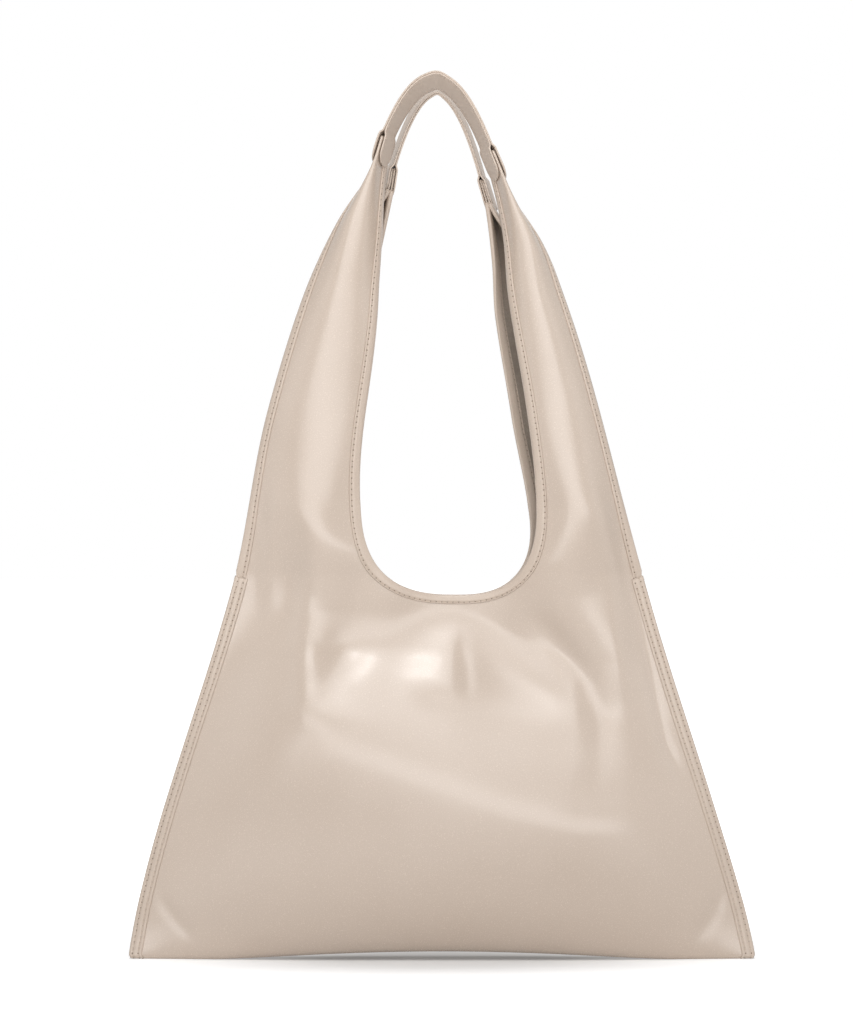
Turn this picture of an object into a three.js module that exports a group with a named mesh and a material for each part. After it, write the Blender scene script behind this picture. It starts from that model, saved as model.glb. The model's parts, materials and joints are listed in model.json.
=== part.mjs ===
// Soft shopper bag. Two leather panels are sewn together down both sides and along the base. Each panel has
// a deep mouth cut into its top edge and rises into two horns, and a two-layer strap joins the horn tips.
// Millimetres, +Z up, +X to the right of the front panel, front panel at -Y, origin under the base's middle.
import * as THREE from "three";

// Sheet goods and sewing
const PANEL_THICKNESS = 1.4;
const BINDING_THICKNESS = 0.9;
const BINDING_WIDTH = 9;
const SIDE_BINDING_WIDTH = 10;
const STITCH_INSET = 2.2; // stitching row from the inner edge of a binding
const ROW_SPACING = 5.6; // between the two rows of a side binding
const THREAD_WIDTH = 0.8;
const THREAD_HEIGHT = 0.5;
const SEAT_GAP = 0.35; // between layers that lie on each other
const MOUTH_EASE = 0.45; // further room under the lower mouth binding, where the panel creases
const RIM_EASE = 0.2; // further room under the mouth binding of a horn, where the horn curls
const FOLD_GAP = 0.7; // slot left in a panel at its fold line, where a handle turns

// Heights, each from the one before it
const BODY_HEIGHT = 258; // floor to the lowest point of the mouth
const SLIT_RISE = 16; // mouth bottom to the start of the side slits
const FOLD_RISE = 10; // slit start to the line where a handle folds over
const MOUTH_RISE = 70; // mouth bottom to the widest part of the mouth
const HORN_RISE = 254; // widest part of the mouth to the horn tips
const SHOULDER_RISE = 65; // widest part of the mouth to the horn's shoulder
const NECK_RISE = 144; // widest part of the mouth to the horn's neck
const NAPE_RISE = 192; // widest part of the mouth to the horn's nape, below the strap
const HIP_HEIGHT = 42; // floor to the place where the sides turn in towards the bottom corners

// Widths across the whole bag
const BASE_WIDTH = 450; // over the side bindings
const HIP_WIDTH = 429.5;
const SLIT_WIDTH = 290;
const SHOULDER_WIDTH = 235;
const NECK_WIDTH = 186;
const NAPE_WIDTH = 149;
const MOUTH_WIDTH = 126;
const MOUTH_NECK_WIDTH = 95;
const MOUTH_ROUNDNESS = 2.4; // exponent of the mouth's lower curve

// Half depths, from the middle plane to the middle of a panel's thickness
const BELLY_DEPTH = 40;
const BELLY_HEIGHT = 112;
const BASE_DEPTH = 15; // flat underside at the middle of the bag
const CORNER_DEPTH = 4; // flat underside at the bottom corners
const CORNER_HEIGHT = 30; // height at which the side seam has closed to its full flatness
const BELLY_RIDGE = 5; // swelling on both sides of the belly's middle
const CHEST_RIDGE = 16; // swelling on both sides of the snap
const RIDGE_DEPTH = 17; // swelling beside the mouth's corners
const CURL_DEPTH = 12; // swelling across a horn at its shoulder
const TIP_CURL = 22; // swelling across a folded horn tip
const RIM_DEPTH = 9; // mouth edge at the widest part of the mouth
const TIP_DEPTH = 5; // edges of a horn at its tip
const SLIT_OPENING = 4; // slit edge at the shoulder
const BASE_LIFT = 6; // the base arches up off the floor in the middle
const LIFT_LENGTH = 290; // length of that arch
const PINCH_HEIGHT = 18; // stretch below the mouth that the snap holds flat
const BELLY_ROUNDNESS = 2.2; // exponent of the belly's curve from side to side
const SHOULDER_ROUNDNESS = 2; // exponent of a horn's curl at its shoulder
const TIP_ROUNDNESS = 4; // exponent of a horn's curl at its tip

// Straps
const STRAP_WIDTH = 25;
const STRAP_LAYER = 1.2;
const STRAP_DEPTH = 15.5; // middle of a strap from the bag's middle plane
const TAB_LENGTH = 20; // strap layers over a horn tip
const TAB_ROUND = 10; // rounding of a tab's end
const TAB_POINT = 4; // width left at a tab's very end
const TAB_CLEARANCE = 0.5; // between a tab and the folded horn under it
const TAB_SETBACK = 4; // a horn's bindings end this far below its tabs
const SPLIT_START = 1; // horn tip to where the two layers start to close up
const SPLIT_RISE = 8; // horn tip to where the two layers lie together
const TIP_FOLD = 2.6; // folded horn at its tip
const TAB_FOLD = 6; // folded horn at the lower end of the tabs
const STRAP_INSET = 2.5; // stitching row from a strap's edge

// Snap and patches
const SNAP_DIAMETER = 18;
const SNAP_THICKNESS = 2.1;
const SNAP_POST_DIAMETER = 5;
const SNAP_POST_LENGTH = 1.2;
const POST_CLEARANCE = 0.4;
const PATCH_WIDTH = 44;
const PATCH_HEIGHT = 28;
const PATCH_MARGIN = 2; // patch below the mouth binding
const PATCH_THICKNESS = 1.2;

// Base strip
const STRIP_THICKNESS = 1.2;
const STRIP_LENGTH = 380;
const STRIP_MARGIN = 3; // base edge to the strip's edge
const STRIP_END = 3; // least width of the strip, towards its ends

// Lie of the soft bag
const LEAN = 4.5; // the horn tips stand this far to the left of the base's middle
const NECK_LEAN = 6; // the horns' necks stand this far to the left
const BELLY_LEAN = 2; // the belly lies this far to the left
const TILT = 0.13; // slope of the straps, with the left end higher
// The slope from the belly to the snap: shares of its height, and of the belly's swelling that is left there
const BELLY_SLOPE = [
  [0, 1],
  [0.25, 0.93],
  [0.5, 0.7],
  [0.72, 0.4],
  [0.87, 0.12],
  [1, 0],
];

// The two sides of the bag. Facing is the sign of y, span is between the middles of the two horn tips, rise
// is from the horn tips to the strap's top, flare is how far a strap's outer edge stands out beyond its inner
// one, and drop is how far the horn tips have sunk. The mouth's edges lie to the right by low at its bottom,
// by wide at its widest part, by high at the shoulders and by thin at the necks.
const FRONT = { name: "front", facing: -1, span: 72, rise: 47, flare: 8, drop: 0 };
const BACK = { name: "back", facing: 1, span: 62, rise: 51, flare: 1, drop: 12 };
const FRONT_MOUTH = { low: 9.5, wide: 8, high: 9, thin: 7 };
const BACK_MOUTH = { low: 9.5, wide: 0, high: -2, thin: -2 };
const HANDS = [
  { name: "left", sign: -1 },
  { name: "right", sign: 1 },
];

// Subdivision
const COLUMNS = 12;
const BELLY_ROWS = 6;
const CHEST_ROWS = 6;
const MOUTH_ROWS = 6;
const HORN_ROWS = 7;
const STRAP_ROWS = 10;
const PATCH_ROWS = 3;
const PATCH_COLUMNS = 8;
const STRIP_ROWS = 20;
const SNAP_SIDES = 24;
const FINE_STEPS = 200;
const HALVINGS = 24;

// Worked-out heights
const slitHeight = BODY_HEIGHT + SLIT_RISE;
const foldHeight = slitHeight + FOLD_RISE;
const widestHeight = BODY_HEIGHT + MOUTH_RISE;
const shoulderHeight = widestHeight + SHOULDER_RISE;
const neckHeight = widestHeight + NECK_RISE;
const napeHeight = widestHeight + NAPE_RISE;
const tipHeight = widestHeight + HORN_RISE;
const tabHeight = tipHeight - TAB_LENGTH;
const boundEnd = tabHeight - TAB_SETBACK;

// Worked-out offsets from the middle of a panel's thickness
const panelFace = PANEL_THICKNESS / 2;
const bindingSeat = panelFace + SEAT_GAP;
const bindingFace = bindingSeat + BINDING_THICKNESS;
const edgeCover = SEAT_GAP + BINDING_THICKNESS;
const seamDepth = panelFace + SEAT_GAP / 2;
const slitDepth = bindingFace + SEAT_GAP / 2;
const patchFace = panelFace + SEAT_GAP + PATCH_THICKNESS;
const snapSeat = SNAP_THICKNESS + SEAT_GAP / 2;
const mouthDepth = snapSeat + SEAT_GAP + patchFace;

const leather = new THREE.MeshStandardMaterial({ color: 0xd3c2b4, roughness: 0.38, metalness: 0 });
const bindingLeather = new THREE.MeshStandardMaterial({ color: 0xd8c8bb, roughness: 0.35, metalness: 0 });
const thread = new THREE.MeshStandardMaterial({ color: 0xd9cdbd, roughness: 0.7, metalness: 0 });
const tape = new THREE.MeshStandardMaterial({ color: 0xb9ab9c, roughness: 0.9, metalness: 0 });
const nickel = new THREE.MeshStandardMaterial({ color: 0xc9c7c2, roughness: 0.3, metalness: 1 });

// Small number helpers
const mix = (a, b, t) => a + (b - a) * t;
const step = THREE.MathUtils.smoothstep;
const clamp = THREE.MathUtils.clamp;
const spread = (from, to, count) => Array.from({ length: count + 1 }, (_, k) => mix(from, to, k / count));

// A smooth function through [height, value] points, with a given slope at its start if one is wanted.
function curveThrough(points, startSlope) {
  const last = points.length - 1;
  const secants = points.slice(1).map(([h, v], k) => (v - points[k][1]) / (h - points[k][0]));
  const slopes = points.map((_, k) => {
    if (k === 0) return startSlope ?? secants[0];
    if (k === last) return secants[last - 1];
    return secants[k - 1] * secants[k] <= 0 ? 0 : (secants[k - 1] + secants[k]) / 2;
  });
  return (height) => {
    let k = 0;
    while (k < last - 1 && height > points[k + 1][0]) k += 1;
    const length = points[k + 1][0] - points[k][0];
    const t = clamp((height - points[k][0]) / length, 0, 1);
    const rest = 1 - t;
    const values = points[k][1] * rest * rest * (1 + 2 * t) + points[k + 1][1] * t * t * (3 - 2 * t);
    return values + length * (slopes[k] * t * rest * rest - slopes[k + 1] * t * t * rest);
  };
}

// Shapes that both sides share
const bumpHeight = curveThrough([
  [0, 0],
  [BELLY_HEIGHT, BELLY_RIDGE],
  [BODY_HEIGHT - PINCH_HEIGHT, CHEST_RIDGE],
  [slitHeight, RIDGE_DEPTH],
  [shoulderHeight, CURL_DEPTH],
  [tipHeight, TIP_CURL],
]);
const rimDepth = curveThrough([
  [BODY_HEIGHT, mouthDepth],
  [widestHeight, RIM_DEPTH],
  [tipHeight, TIP_DEPTH],
]);
const sideDepth = curveThrough([
  [0, CORNER_DEPTH],
  [CORNER_HEIGHT, seamDepth],
  [slitHeight, seamDepth],
  [foldHeight, slitDepth],
  [shoulderHeight, SLIT_OPENING],
  [tipHeight, TIP_DEPTH],
]);

const slopeDepth = curveThrough(
  BELLY_SLOPE.map(([share, left]) => [
    mix(BELLY_HEIGHT, BODY_HEIGHT - PINCH_HEIGHT, share),
    mix(mouthDepth, BELLY_DEPTH, left),
  ]),
  0,
);

// Half depth down the middle of a panel: a rounded belly that closes towards the snap.
function middleDepth(height) {
  if (height > BELLY_HEIGHT) return slopeDepth(height);
  const below = 1 - height / BELLY_HEIGHT;
  return BASE_DEPTH + (BELLY_DEPTH - BASE_DEPTH) * Math.sqrt(1 - below * below);
}

// How far the arched base stands off the floor.
function baseLift(x) {
  const share = Math.min(1, Math.abs(x) / (LIFT_LENGTH / 2));
  return BASE_LIFT * (1 - share * share) ** 2;
}

// The whole bag leans sideways with height.
const lean = curveThrough([
  [0, 0],
  [BELLY_HEIGHT, -BELLY_LEAN],
  [BODY_HEIGHT, -BELLY_LEAN],
  [shoulderHeight, -NECK_LEAN],
  [neckHeight, -NECK_LEAN],
  [tipHeight, -LEAN],
]);

// Adds what one side of the bag needs: its outline, its mouth, its strap's line and its surface.
function shapeOf(side, lie) {
  const top = tipHeight + side.rise;
  const legMiddle = (height) => (side.span / 2) * Math.sqrt((top - height) / side.rise);
  const outline = curveThrough([
    [0, BASE_WIDTH / 2 - edgeCover],
    [HIP_HEIGHT, HIP_WIDTH / 2],
    [slitHeight, SLIT_WIDTH / 2],
    [shoulderHeight, SHOULDER_WIDTH / 2],
    [neckHeight, NECK_WIDTH / 2],
    [napeHeight, NAPE_WIDTH / 2],
    [tabHeight, legMiddle(tabHeight) + TAB_FOLD / 2],
    [tipHeight, side.span / 2 + TIP_FOLD / 2],
  ]);
  const upperMouth = curveThrough(
    [
      [widestHeight, MOUTH_WIDTH / 2],
      [neckHeight, MOUTH_NECK_WIDTH / 2],
      [tabHeight, legMiddle(tabHeight) - TAB_FOLD / 2],
      [tipHeight, side.span / 2 - TIP_FOLD / 2],
    ],
    0,
  );
  // Half width of the mouth: a rounded bottom, then the horns' inner edges.
  const mouth = (height) => {
    if (height >= widestHeight) return upperMouth(height);
    const below = clamp((widestHeight - height) / MOUTH_RISE, 0, 1);
    return (MOUTH_WIDTH / 2) * (1 - below ** MOUTH_ROUNDNESS) ** (1 / MOUTH_ROUNDNESS);
  };
  // Half width of the flat stretch in the middle, which grows into the mouth.
  const hollow = (height) => {
    if (height >= widestHeight) return upperMouth(height);
    return (MOUTH_WIDTH / 2) * step(height, BODY_HEIGHT - PINCH_HEIGHT, widestHeight);
  };
  // Half depth of the panel's middle surface at a place across the bag and a height.
  const depth = (x, height) => {
    const inner = hollow(height);
    const across = clamp((Math.abs(x) - inner) / (outline(height) - inner), 0, 1);
    const middle = height > BODY_HEIGHT ? rimDepth(height) : middleDepth(height);
    const edge = sideDepth(height);
    const roundness = mix(BELLY_ROUNDNESS, 1, step(height, BELLY_HEIGHT, BODY_HEIGHT));
    const body = edge + (middle - edge) * (1 - across ** roundness);
    const soft = Math.sin(Math.PI * across) ** 2;
    const curl = mix(SHOULDER_ROUNDNESS, TIP_ROUNDNESS, step(height, neckHeight, tipHeight));
    const curled = 1 - Math.abs(2 * across - 1) ** curl;
    const shape = mix(soft, curled, step(height, BODY_HEIGHT, shoulderHeight));
    return body + bumpHeight(height) * shape;
  };
  // A strap leg's slope from upright at a height.
  const legLean = (height) => {
    const reach = legMiddle(Math.min(height, tipHeight));
    return Math.atan(side.span ** 2 / (8 * side.rise * reach));
  };
  // How far the mouth's edges, or the middle below the mouth, are pulled sideways.
  const pull = curveThrough([
    [BELLY_HEIGHT, 0],
    [BODY_HEIGHT, lie.low],
    [widestHeight, lie.wide],
    [shoulderHeight, lie.high],
    [neckHeight, lie.thin],
    [tabHeight, 0],
  ]);
  // How far a place on a horn or a strap has sunk.
  const sunk = (x, z) => {
    const tilted = TILT * x * step(z, neckHeight, tabHeight);
    return tilted + side.drop * step(z, widestHeight, tabHeight);
  };
  // The lie of the soft bag: it leans and sinks, its mouth is pulled aside and a horn turns with its strap.
  const place = (x, y, z) => {
    const inner = hollow(z);
    const outside = clamp((Math.abs(x) - inner) / (outline(z) - inner), 0, 1);
    const flare = (side.flare * step(z, neckHeight, tabHeight)) / Math.cos(legLean(z));
    const turned = x + Math.sign(x) * flare * ((y * side.facing - STRAP_DEPTH) / STRAP_WIDTH);
    return new THREE.Vector3(turned + lean(z) + pull(z) * (1 - outside), y, z - sunk(turned, z));
  };
  // A point of the middle surface, before the lie of the soft bag is added.
  const point = (x, height) => {
    const z = height + (panelFace + baseLift(x)) * (1 - Math.min(1, height / BELLY_HEIGHT)) ** 2;
    return new THREE.Vector3(x, side.facing * depth(x, height), z);
  };
  // The outward direction there.
  const normal = (x, height, level) => {
    const reach = 0.4;
    const slopeX = (depth(x + reach, height) - depth(x - reach, height)) / (2 * reach);
    const slopeZ = (depth(x, height + reach) - depth(x, height - reach)) / (2 * reach);
    return new THREE.Vector3(-slopeX, side.facing, level ? 0 : -slopeZ).normalize();
  };
  return { ...side, top, legMiddle, legLean, outline, mouth, depth, sunk, place, point, normal };
}

// Closed solids

// A mesh of triangles that is turned the right way out if its faces point inwards.
function closedGeometry(points, triangles) {
  const volume = triangles.reduce((sum, [a, b, c]) => {
    return sum + points[a].dot(new THREE.Vector3().crossVectors(points[b], points[c]));
  }, 0);
  const faces = volume < 0 ? triangles.map(([a, b, c]) => [a, c, b]) : triangles;
  const geometry = new THREE.BufferGeometry().setFromPoints(points);
  geometry.setIndex(faces.flat());
  geometry.computeVertexNormals();
  return geometry;
}

// A sheet between two sets of matching points, joined by quads and closed along every free edge. Each quad is
// split along its shorter diagonal, so that layers that lie on each other bend alike.
function sheetSolid(outer, inner, quads) {
  const count = outer.length;
  const triangles = [];
  const edges = new Map();
  for (const quad of quads) {
    const turned = outer[quad[1]].distanceTo(outer[quad[3]]) < outer[quad[0]].distanceTo(outer[quad[2]]);
    const [a, b, c, d] = turned ? [...quad.slice(1), quad[0]] : quad;
    triangles.push([a, b, c], [a, c, d]);
    triangles.push([a + count, c + count, b + count], [a + count, d + count, c + count]);
    quad.forEach((from, k) => {
      const to = quad[(k + 1) % 4];
      if (!edges.delete(to + "/" + from)) edges.set(from + "/" + to, [from, to]);
    });
  }
  for (const [from, to] of edges.values()) {
    triangles.push([to, from, from + count], [to, from + count, to + count]);
  }
  return closedGeometry([...outer, ...inner], triangles);
}

// A strip through matching cross-sections, each a list of outer points and a list of inner points.
function stripSolid(sections, looped = false) {
  const width = sections[0].outer.length;
  const quads = [];
  const turns = looped ? sections.length : sections.length - 1;
  for (let i = 0; i < turns; i += 1) {
    const next = ((i + 1) % sections.length) * width;
    for (let j = 0; j < width - 1; j += 1) {
      quads.push([i * width + j, i * width + j + 1, next + j + 1, next + j]);
    }
  }
  return sheetSolid(
    sections.flatMap((section) => section.outer),
    sections.flatMap((section) => section.inner),
    quads,
  );
}

// A flat thread laid along a path of places, each a point on a surface and the direction out of it.
function threadSolid(path, looped = false) {
  const last = path.length - 1;
  const sections = path.map(({ at, out }, k) => {
    const before = path[looped ? (k + last) % path.length : Math.max(0, k - 1)].at;
    const after = path[looped ? (k + 1) % path.length : Math.min(last, k + 1)].at;
    const along = new THREE.Vector3().subVectors(after, before).normalize();
    const aside = new THREE.Vector3().crossVectors(along, out).setLength(THREAD_WIDTH / 2);
    const low = at.clone().addScaledVector(out, SEAT_GAP);
    const high = at.clone().addScaledVector(out, SEAT_GAP + THREAD_HEIGHT);
    return {
      outer: [high.clone().add(aside), high.clone().sub(aside)],
      inner: [low.clone().add(aside), low.clone().sub(aside)],
    };
  });
  return stripSolid(sections, looped);
}

// Panels and horns

// Heights of the rows of a panel, from the base to the horn tips.
const bellyRows = spread(0, Math.PI / 2, BELLY_ROWS).map((turn) => BELLY_HEIGHT * (1 - Math.cos(turn)));
const chestRows = spread(BELLY_HEIGHT, BODY_HEIGHT - BINDING_WIDTH, CHEST_ROWS).slice(1).concat(BODY_HEIGHT);
const mouthRows = spread(0, Math.PI / 2, MOUTH_ROWS)
  .slice(1)
  .map((turn) => widestHeight - MOUTH_RISE * Math.cos(turn) ** (2 / MOUTH_ROUNDNESS));
const hornRows = [...spread(widestHeight, boundEnd, HORN_ROWS).slice(1), ...spread(tabHeight, tipHeight, 2)];
const upperRows = [...mouthRows, ...hornRows];
const lowerEnd = foldHeight - FOLD_GAP / 2;
const hornStart = foldHeight + FOLD_GAP / 2;
const wallRows = [...bellyRows, ...chestRows, ...mouthRows.filter((h) => h < lowerEnd - 1), lowerEnd];
const hornHeights = [hornStart, ...upperRows.filter((h) => h > hornStart + 1)];
const boundHeights = hornHeights.filter((h) => h <= boundEnd);

// Distances from an edge at which a binding bends or is sewn.
const edgeMarks = [BINDING_WIDTH - STITCH_INSET, BINDING_WIDTH];
const seamMarks = [STITCH_INSET + ROW_SPACING, STITCH_INSET, 0].map((inset) => SIDE_BINDING_WIDTH - inset);

// Places across one half of a panel at one height, from the side edge inwards. Some lie where the bindings
// bend and the rest are spread evenly along the curve between them.
function rowAcross(shape, height, sideMarks) {
  const open = height > BODY_HEIGHT;
  const fine = spread(shape.outline(height), open ? shape.mouth(height) : 0, FINE_STEPS);
  const lengths = [0];
  fine.slice(1).forEach((x, k) => {
    const gap = shape.point(x, height).distanceTo(shape.point(fine[k], height));
    lengths.push(lengths[k] + gap);
  });
  const total = lengths[lengths.length - 1];
  const rimMarks = open ? edgeMarks.map((mark) => total - mark).reverse() : [];
  const first = sideMarks[sideMarks.length - 1];
  const last = open ? rimMarks[0] : total;
  const between = spread(first, last, COLUMNS - sideMarks.length - rimMarks.slice(1).length - (open ? 1 : 0));
  const wanted = [0, ...sideMarks.slice(0, -1), ...between, ...rimMarks.slice(1), ...(open ? [total] : [])];
  return wanted.map((length) => {
    let k = 1;
    while (k < lengths.length - 1 && lengths[k] < length) k += 1;
    return mix(fine[k - 1], fine[k], (length - lengths[k - 1]) / (lengths[k] - lengths[k - 1]));
  });
}

// Outward directions on a grid of points, from each point's neighbours.
function gridNormals(rows, facing) {
  return rows.map((row, i) =>
    row.map((_, j) => {
      const up = rows[Math.min(i + 1, rows.length - 1)][j];
      const down = rows[Math.max(i - 1, 0)][j];
      const right = row[Math.min(j + 1, row.length - 1)];
      const left = row[Math.max(j - 1, 0)];
      const rise = new THREE.Vector3().subVectors(up, down);
      const run = new THREE.Vector3().subVectors(right, left);
      return new THREE.Vector3().crossVectors(run, rise).normalize().multiplyScalar(-facing);
    }),
  );
}

// Moves points off their surface and gives each the lie of the soft bag.
function offsetPoints(shape, rows, normals, distance) {
  return rows.flatMap((row, i) =>
    row.map((at, j) => {
      const moved = at.clone().addScaledVector(normals[i][j], distance);
      return shape.place(moved.x, moved.y, moved.z);
    }),
  );
}

// The lower part of a panel: half of the base, the belly, and the stretch on both sides of the mouth.
function panelGeometry(shape) {
  const halves = wallRows.map((height) => rowAcross(shape, height, seamMarks));
  const wall = wallRows.map((height, i) => {
    const right = halves[i].map((x) => shape.point(x, height));
    const left = halves[i].map((x) => shape.point(-x, height));
    return [...left.slice(0, -1), ...right.reverse()];
  });
  const baseEdge = wall[0];
  const baseRow = (share) =>
    baseEdge.map(({ x, y, z }) => new THREE.Vector3(x, mix((shape.facing * SEAT_GAP) / 2, y, share), z));
  const rows = [baseRow(0), baseRow(0.5), ...wall];
  const normals = gridNormals(rows, shape.facing);
  const outer = offsetPoints(shape, rows, normals, panelFace);
  const inner = offsetPoints(shape, rows, normals, -panelFace);
  const width = rows[0].length;
  const closedRows = rows.length - wallRows.filter((height) => height > BODY_HEIGHT).length;
  const twin = (i) => outer.length - (rows.length - closedRows) + (i - closedRows);
  // Above the mouth's bottom the two sides part, so the middle point of a row has a twin for the right side.
  for (let i = closedRows; i < rows.length; i += 1) {
    const height = wallRows[i - 2];
    const at = shape.point(shape.mouth(height), height);
    const out = normals[i][COLUMNS + 1];
    const leftAt = shape.point(-shape.mouth(height), height);
    const leftOut = normals[i][COLUMNS - 1];
    const middle = i * width + COLUMNS;
    const put = (spot, way, distance) => {
      const moved = spot.clone().addScaledVector(way, distance);
      return shape.place(moved.x, moved.y, moved.z);
    };
    outer[middle] = put(leftAt, leftOut, panelFace);
    inner[middle] = put(leftAt, leftOut, -panelFace);
    outer.push(put(at, out, panelFace));
    inner.push(put(at, out, -panelFace));
  }
  const index = (i, j, right) => (right && j === COLUMNS && i >= closedRows ? twin(i) : i * width + j);
  const quads = [];
  for (let i = 0; i < rows.length - 1; i += 1) {
    for (let j = 0; j < width - 1; j += 1) {
      const right = j >= COLUMNS;
      const low = [index(i, j, right), index(i, j + 1, right)];
      quads.push([...low, index(i + 1, j + 1, right), index(i + 1, j, right)]);
    }
  }
  return sheetSolid(outer, inner, quads);
}

// One horn of a panel, from the fold line to its tip.
function hornGeometry(shape, hand) {
  const rows = hornHeights.map((height) =>
    rowAcross(shape, height, edgeMarks).map((x) => shape.point(hand.sign * x, height)),
  );
  const normals = gridNormals(rows, -shape.facing * hand.sign);
  const width = rows[0].length;
  const outer = offsetPoints(shape, rows, normals, panelFace);
  const inner = offsetPoints(shape, rows, normals, -panelFace);
  const sections = rows.map((_, i) => ({
    outer: outer.slice(i * width, (i + 1) * width),
    inner: inner.slice(i * width, (i + 1) * width),
  }));
  return stripSolid(sections);
}

// Bindings

// The place on a panel's surface at a distance from an edge place, going inwards along a flat direction.
function placeInside(shape, edge, inward, distance) {
  const start = shape.point(edge.x, edge.z);
  let low = 0;
  let high = distance;
  for (let k = 0; k < HALVINGS; k += 1) {
    const reach = (low + high) / 2;
    const far = shape.point(edge.x + inward.x * reach, edge.z + inward.z * reach).distanceTo(start);
    if (far < distance) low = reach;
    else high = reach;
  }
  return { x: edge.x + inward.x * low, z: edge.z + inward.z * low };
}

// Cross-section of a binding folded over one panel edge, and the stitching place on its outer leg.
function edgeSection(shape, edge, inward, ease = 0) {
  const stitchAt = placeInside(shape, edge, inward, BINDING_WIDTH - STITCH_INSET);
  const end = placeInside(shape, edge, inward, BINDING_WIDTH);
  const places = [edge, stitchAt, end].map((spot) => ({
    at: shape.point(spot.x, spot.z),
    out: shape.normal(spot.x, spot.z),
  }));
  const close = placeInside(shape, edge, inward, 1);
  const outward = places[0].at.clone().sub(shape.point(close.x, close.z)).normalize();
  const leg = (distance, cover) =>
    places.map(({ at, out }, k) => {
      const moved = at.clone().addScaledVector(out, distance);
      return k === 0 ? moved.addScaledVector(outward, cover) : moved;
    });
  const wrapped = (distance, cover) =>
    [...leg(distance, cover).reverse(), ...leg(-distance, cover)].map(({ x, y, z }) => shape.place(x, y, z));
  const row = places[1].at.clone().addScaledVector(places[1].out, bindingFace + ease);
  return {
    outer: wrapped(bindingFace + ease, edgeCover),
    inner: wrapped(bindingSeat + ease, SEAT_GAP),
    stitch: { at: shape.place(row.x, row.y, row.z), out: places[1].out },
  };
}

// Direction from the mouth's edge into the panel, level from the fold line up so that a handle can turn.
function mouthInward(shape, hand, height) {
  if (height >= foldHeight) return { x: hand.sign, z: 0 };
  const reach = 0.05;
  const low = Math.max(BODY_HEIGHT, height - reach);
  const slope = (shape.mouth(height + reach) - shape.mouth(low)) / (height + reach - low);
  const level = step(height, foldHeight - FOLD_RISE, foldHeight);
  const across = new THREE.Vector2(1, -slope).normalize().lerp(new THREE.Vector2(1, 0), level).normalize();
  return { x: hand.sign * across.x, z: across.y };
}

// Sections of the mouth binding over a list of heights on one hand.
function mouthSections(shape, hand, heights, ease) {
  return heights.map((height) => {
    const edge = { x: hand.sign * shape.mouth(height), z: height };
    return edgeSection(shape, edge, mouthInward(shape, hand, height), ease);
  });
}

// The lower mouth binding runs from the left fold line round the mouth's bottom to the right fold line.
function lowerMouthSections(shape) {
  const heights = wallRows.filter((height) => height > BODY_HEIGHT);
  const [left, right] = HANDS.map((hand) => mouthSections(shape, hand, heights, MOUTH_EASE));
  const bottom = edgeSection(shape, { x: 0, z: BODY_HEIGHT }, { x: 0, z: -1 }, MOUTH_EASE);
  return [...left.reverse(), bottom, ...right];
}

// Sections of a slit binding on one horn, up to the strap's tab.
function slitSections(shape, hand) {
  return boundHeights.map((height) => {
    const edge = { x: hand.sign * shape.outline(height), z: height };
    return edgeSection(shape, edge, { x: -hand.sign, z: 0 });
  });
}

// Cross-section of a strip folded over both panel edges at a side seam, a given distance off the panels.
function seamSection(shapes, hand, height, distance, cover) {
  const legs = shapes.map((shape) => {
    const edge = { x: hand.sign * shape.outline(height), z: height };
    const inward = { x: -hand.sign, z: 0 };
    const spots = [0, ...seamMarks].map((length) => placeInside(shape, edge, inward, length));
    const close = placeInside(shape, edge, inward, 1);
    const outward = shape.point(edge.x, height).sub(shape.point(close.x, height)).setZ(0).normalize();
    return spots.map((spot, k) => {
      const out = shape.normal(spot.x, height, true);
      const moved = shape.point(spot.x, height).addScaledVector(out, distance);
      if (k === 0) moved.addScaledVector(outward, cover);
      const at = shape.place(moved.x, moved.y, Math.max(height, SEAT_GAP));
      return { at, out };
    });
  });
  return [...legs[0].reverse(), ...legs[1]];
}

// A strip folded round a side seam between two heights, lying off the panels by a seat and a face distance.
function seamStrip(shapes, hand, heights, seat, face) {
  const cover = seat - panelFace;
  const sections = heights.map((height) => ({
    outer: seamSection(shapes, hand, height, face, cover + face - seat).map(({ at }) => at),
    inner: seamSection(shapes, hand, height, seat, cover).map(({ at }) => at),
  }));
  return stripSolid(sections);
}

// Straps

// Positions along a strap from one tab end to the other, as shares of the half span.
function strapShares(shape) {
  const share = (height) => Math.sqrt((shape.top - height) / shape.rise);
  const rounding = [0, 0.06, 0.2, 0.45, 1].map((part) => share(tabHeight + part * TAB_ROUND));
  const leg = [...rounding, ...spread(share(tipHeight + SPLIT_START), 0, STRAP_ROWS)];
  return [...leg.map((value) => -value), ...leg.slice(0, -1).reverse()];
}

// One place along a strap: its middle, the direction out of the loop, its width and how far each layer stands
// off the middle. Over the horn tips the layers part to clear the horn's outer edge and its mouth edge.
function strapPlace(shape, share) {
  const height = shape.top - shape.rise * share * share;
  const middle = new THREE.Vector3((shape.span / 2) * share, 0, height);
  const along = new THREE.Vector3(shape.span / 2, 0, -2 * shape.rise * share).normalize();
  const out = new THREE.Vector3(-along.z, 0, along.x);
  const fromEnd = Math.min(1, (height - tabHeight) / TAB_ROUND);
  const width = Math.max(TAB_POINT, STRAP_WIDTH * Math.sqrt(1 - (1 - fromEnd) ** 2));
  const covered = Math.min(height, tipHeight);
  const joined = step(height, tipHeight + SPLIT_START, tipHeight + SPLIT_RISE);
  const opening = (layer) => {
    const edge = layer > 0 ? shape.outline(covered) : shape.mouth(covered);
    const folded = layer * (edge - shape.legMiddle(covered)) * Math.cos(shape.legLean(covered));
    return mix(folded + panelFace + TAB_CLEARANCE, SEAT_GAP / 2, joined);
  };
  return { middle, out, width, opening };
}

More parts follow.
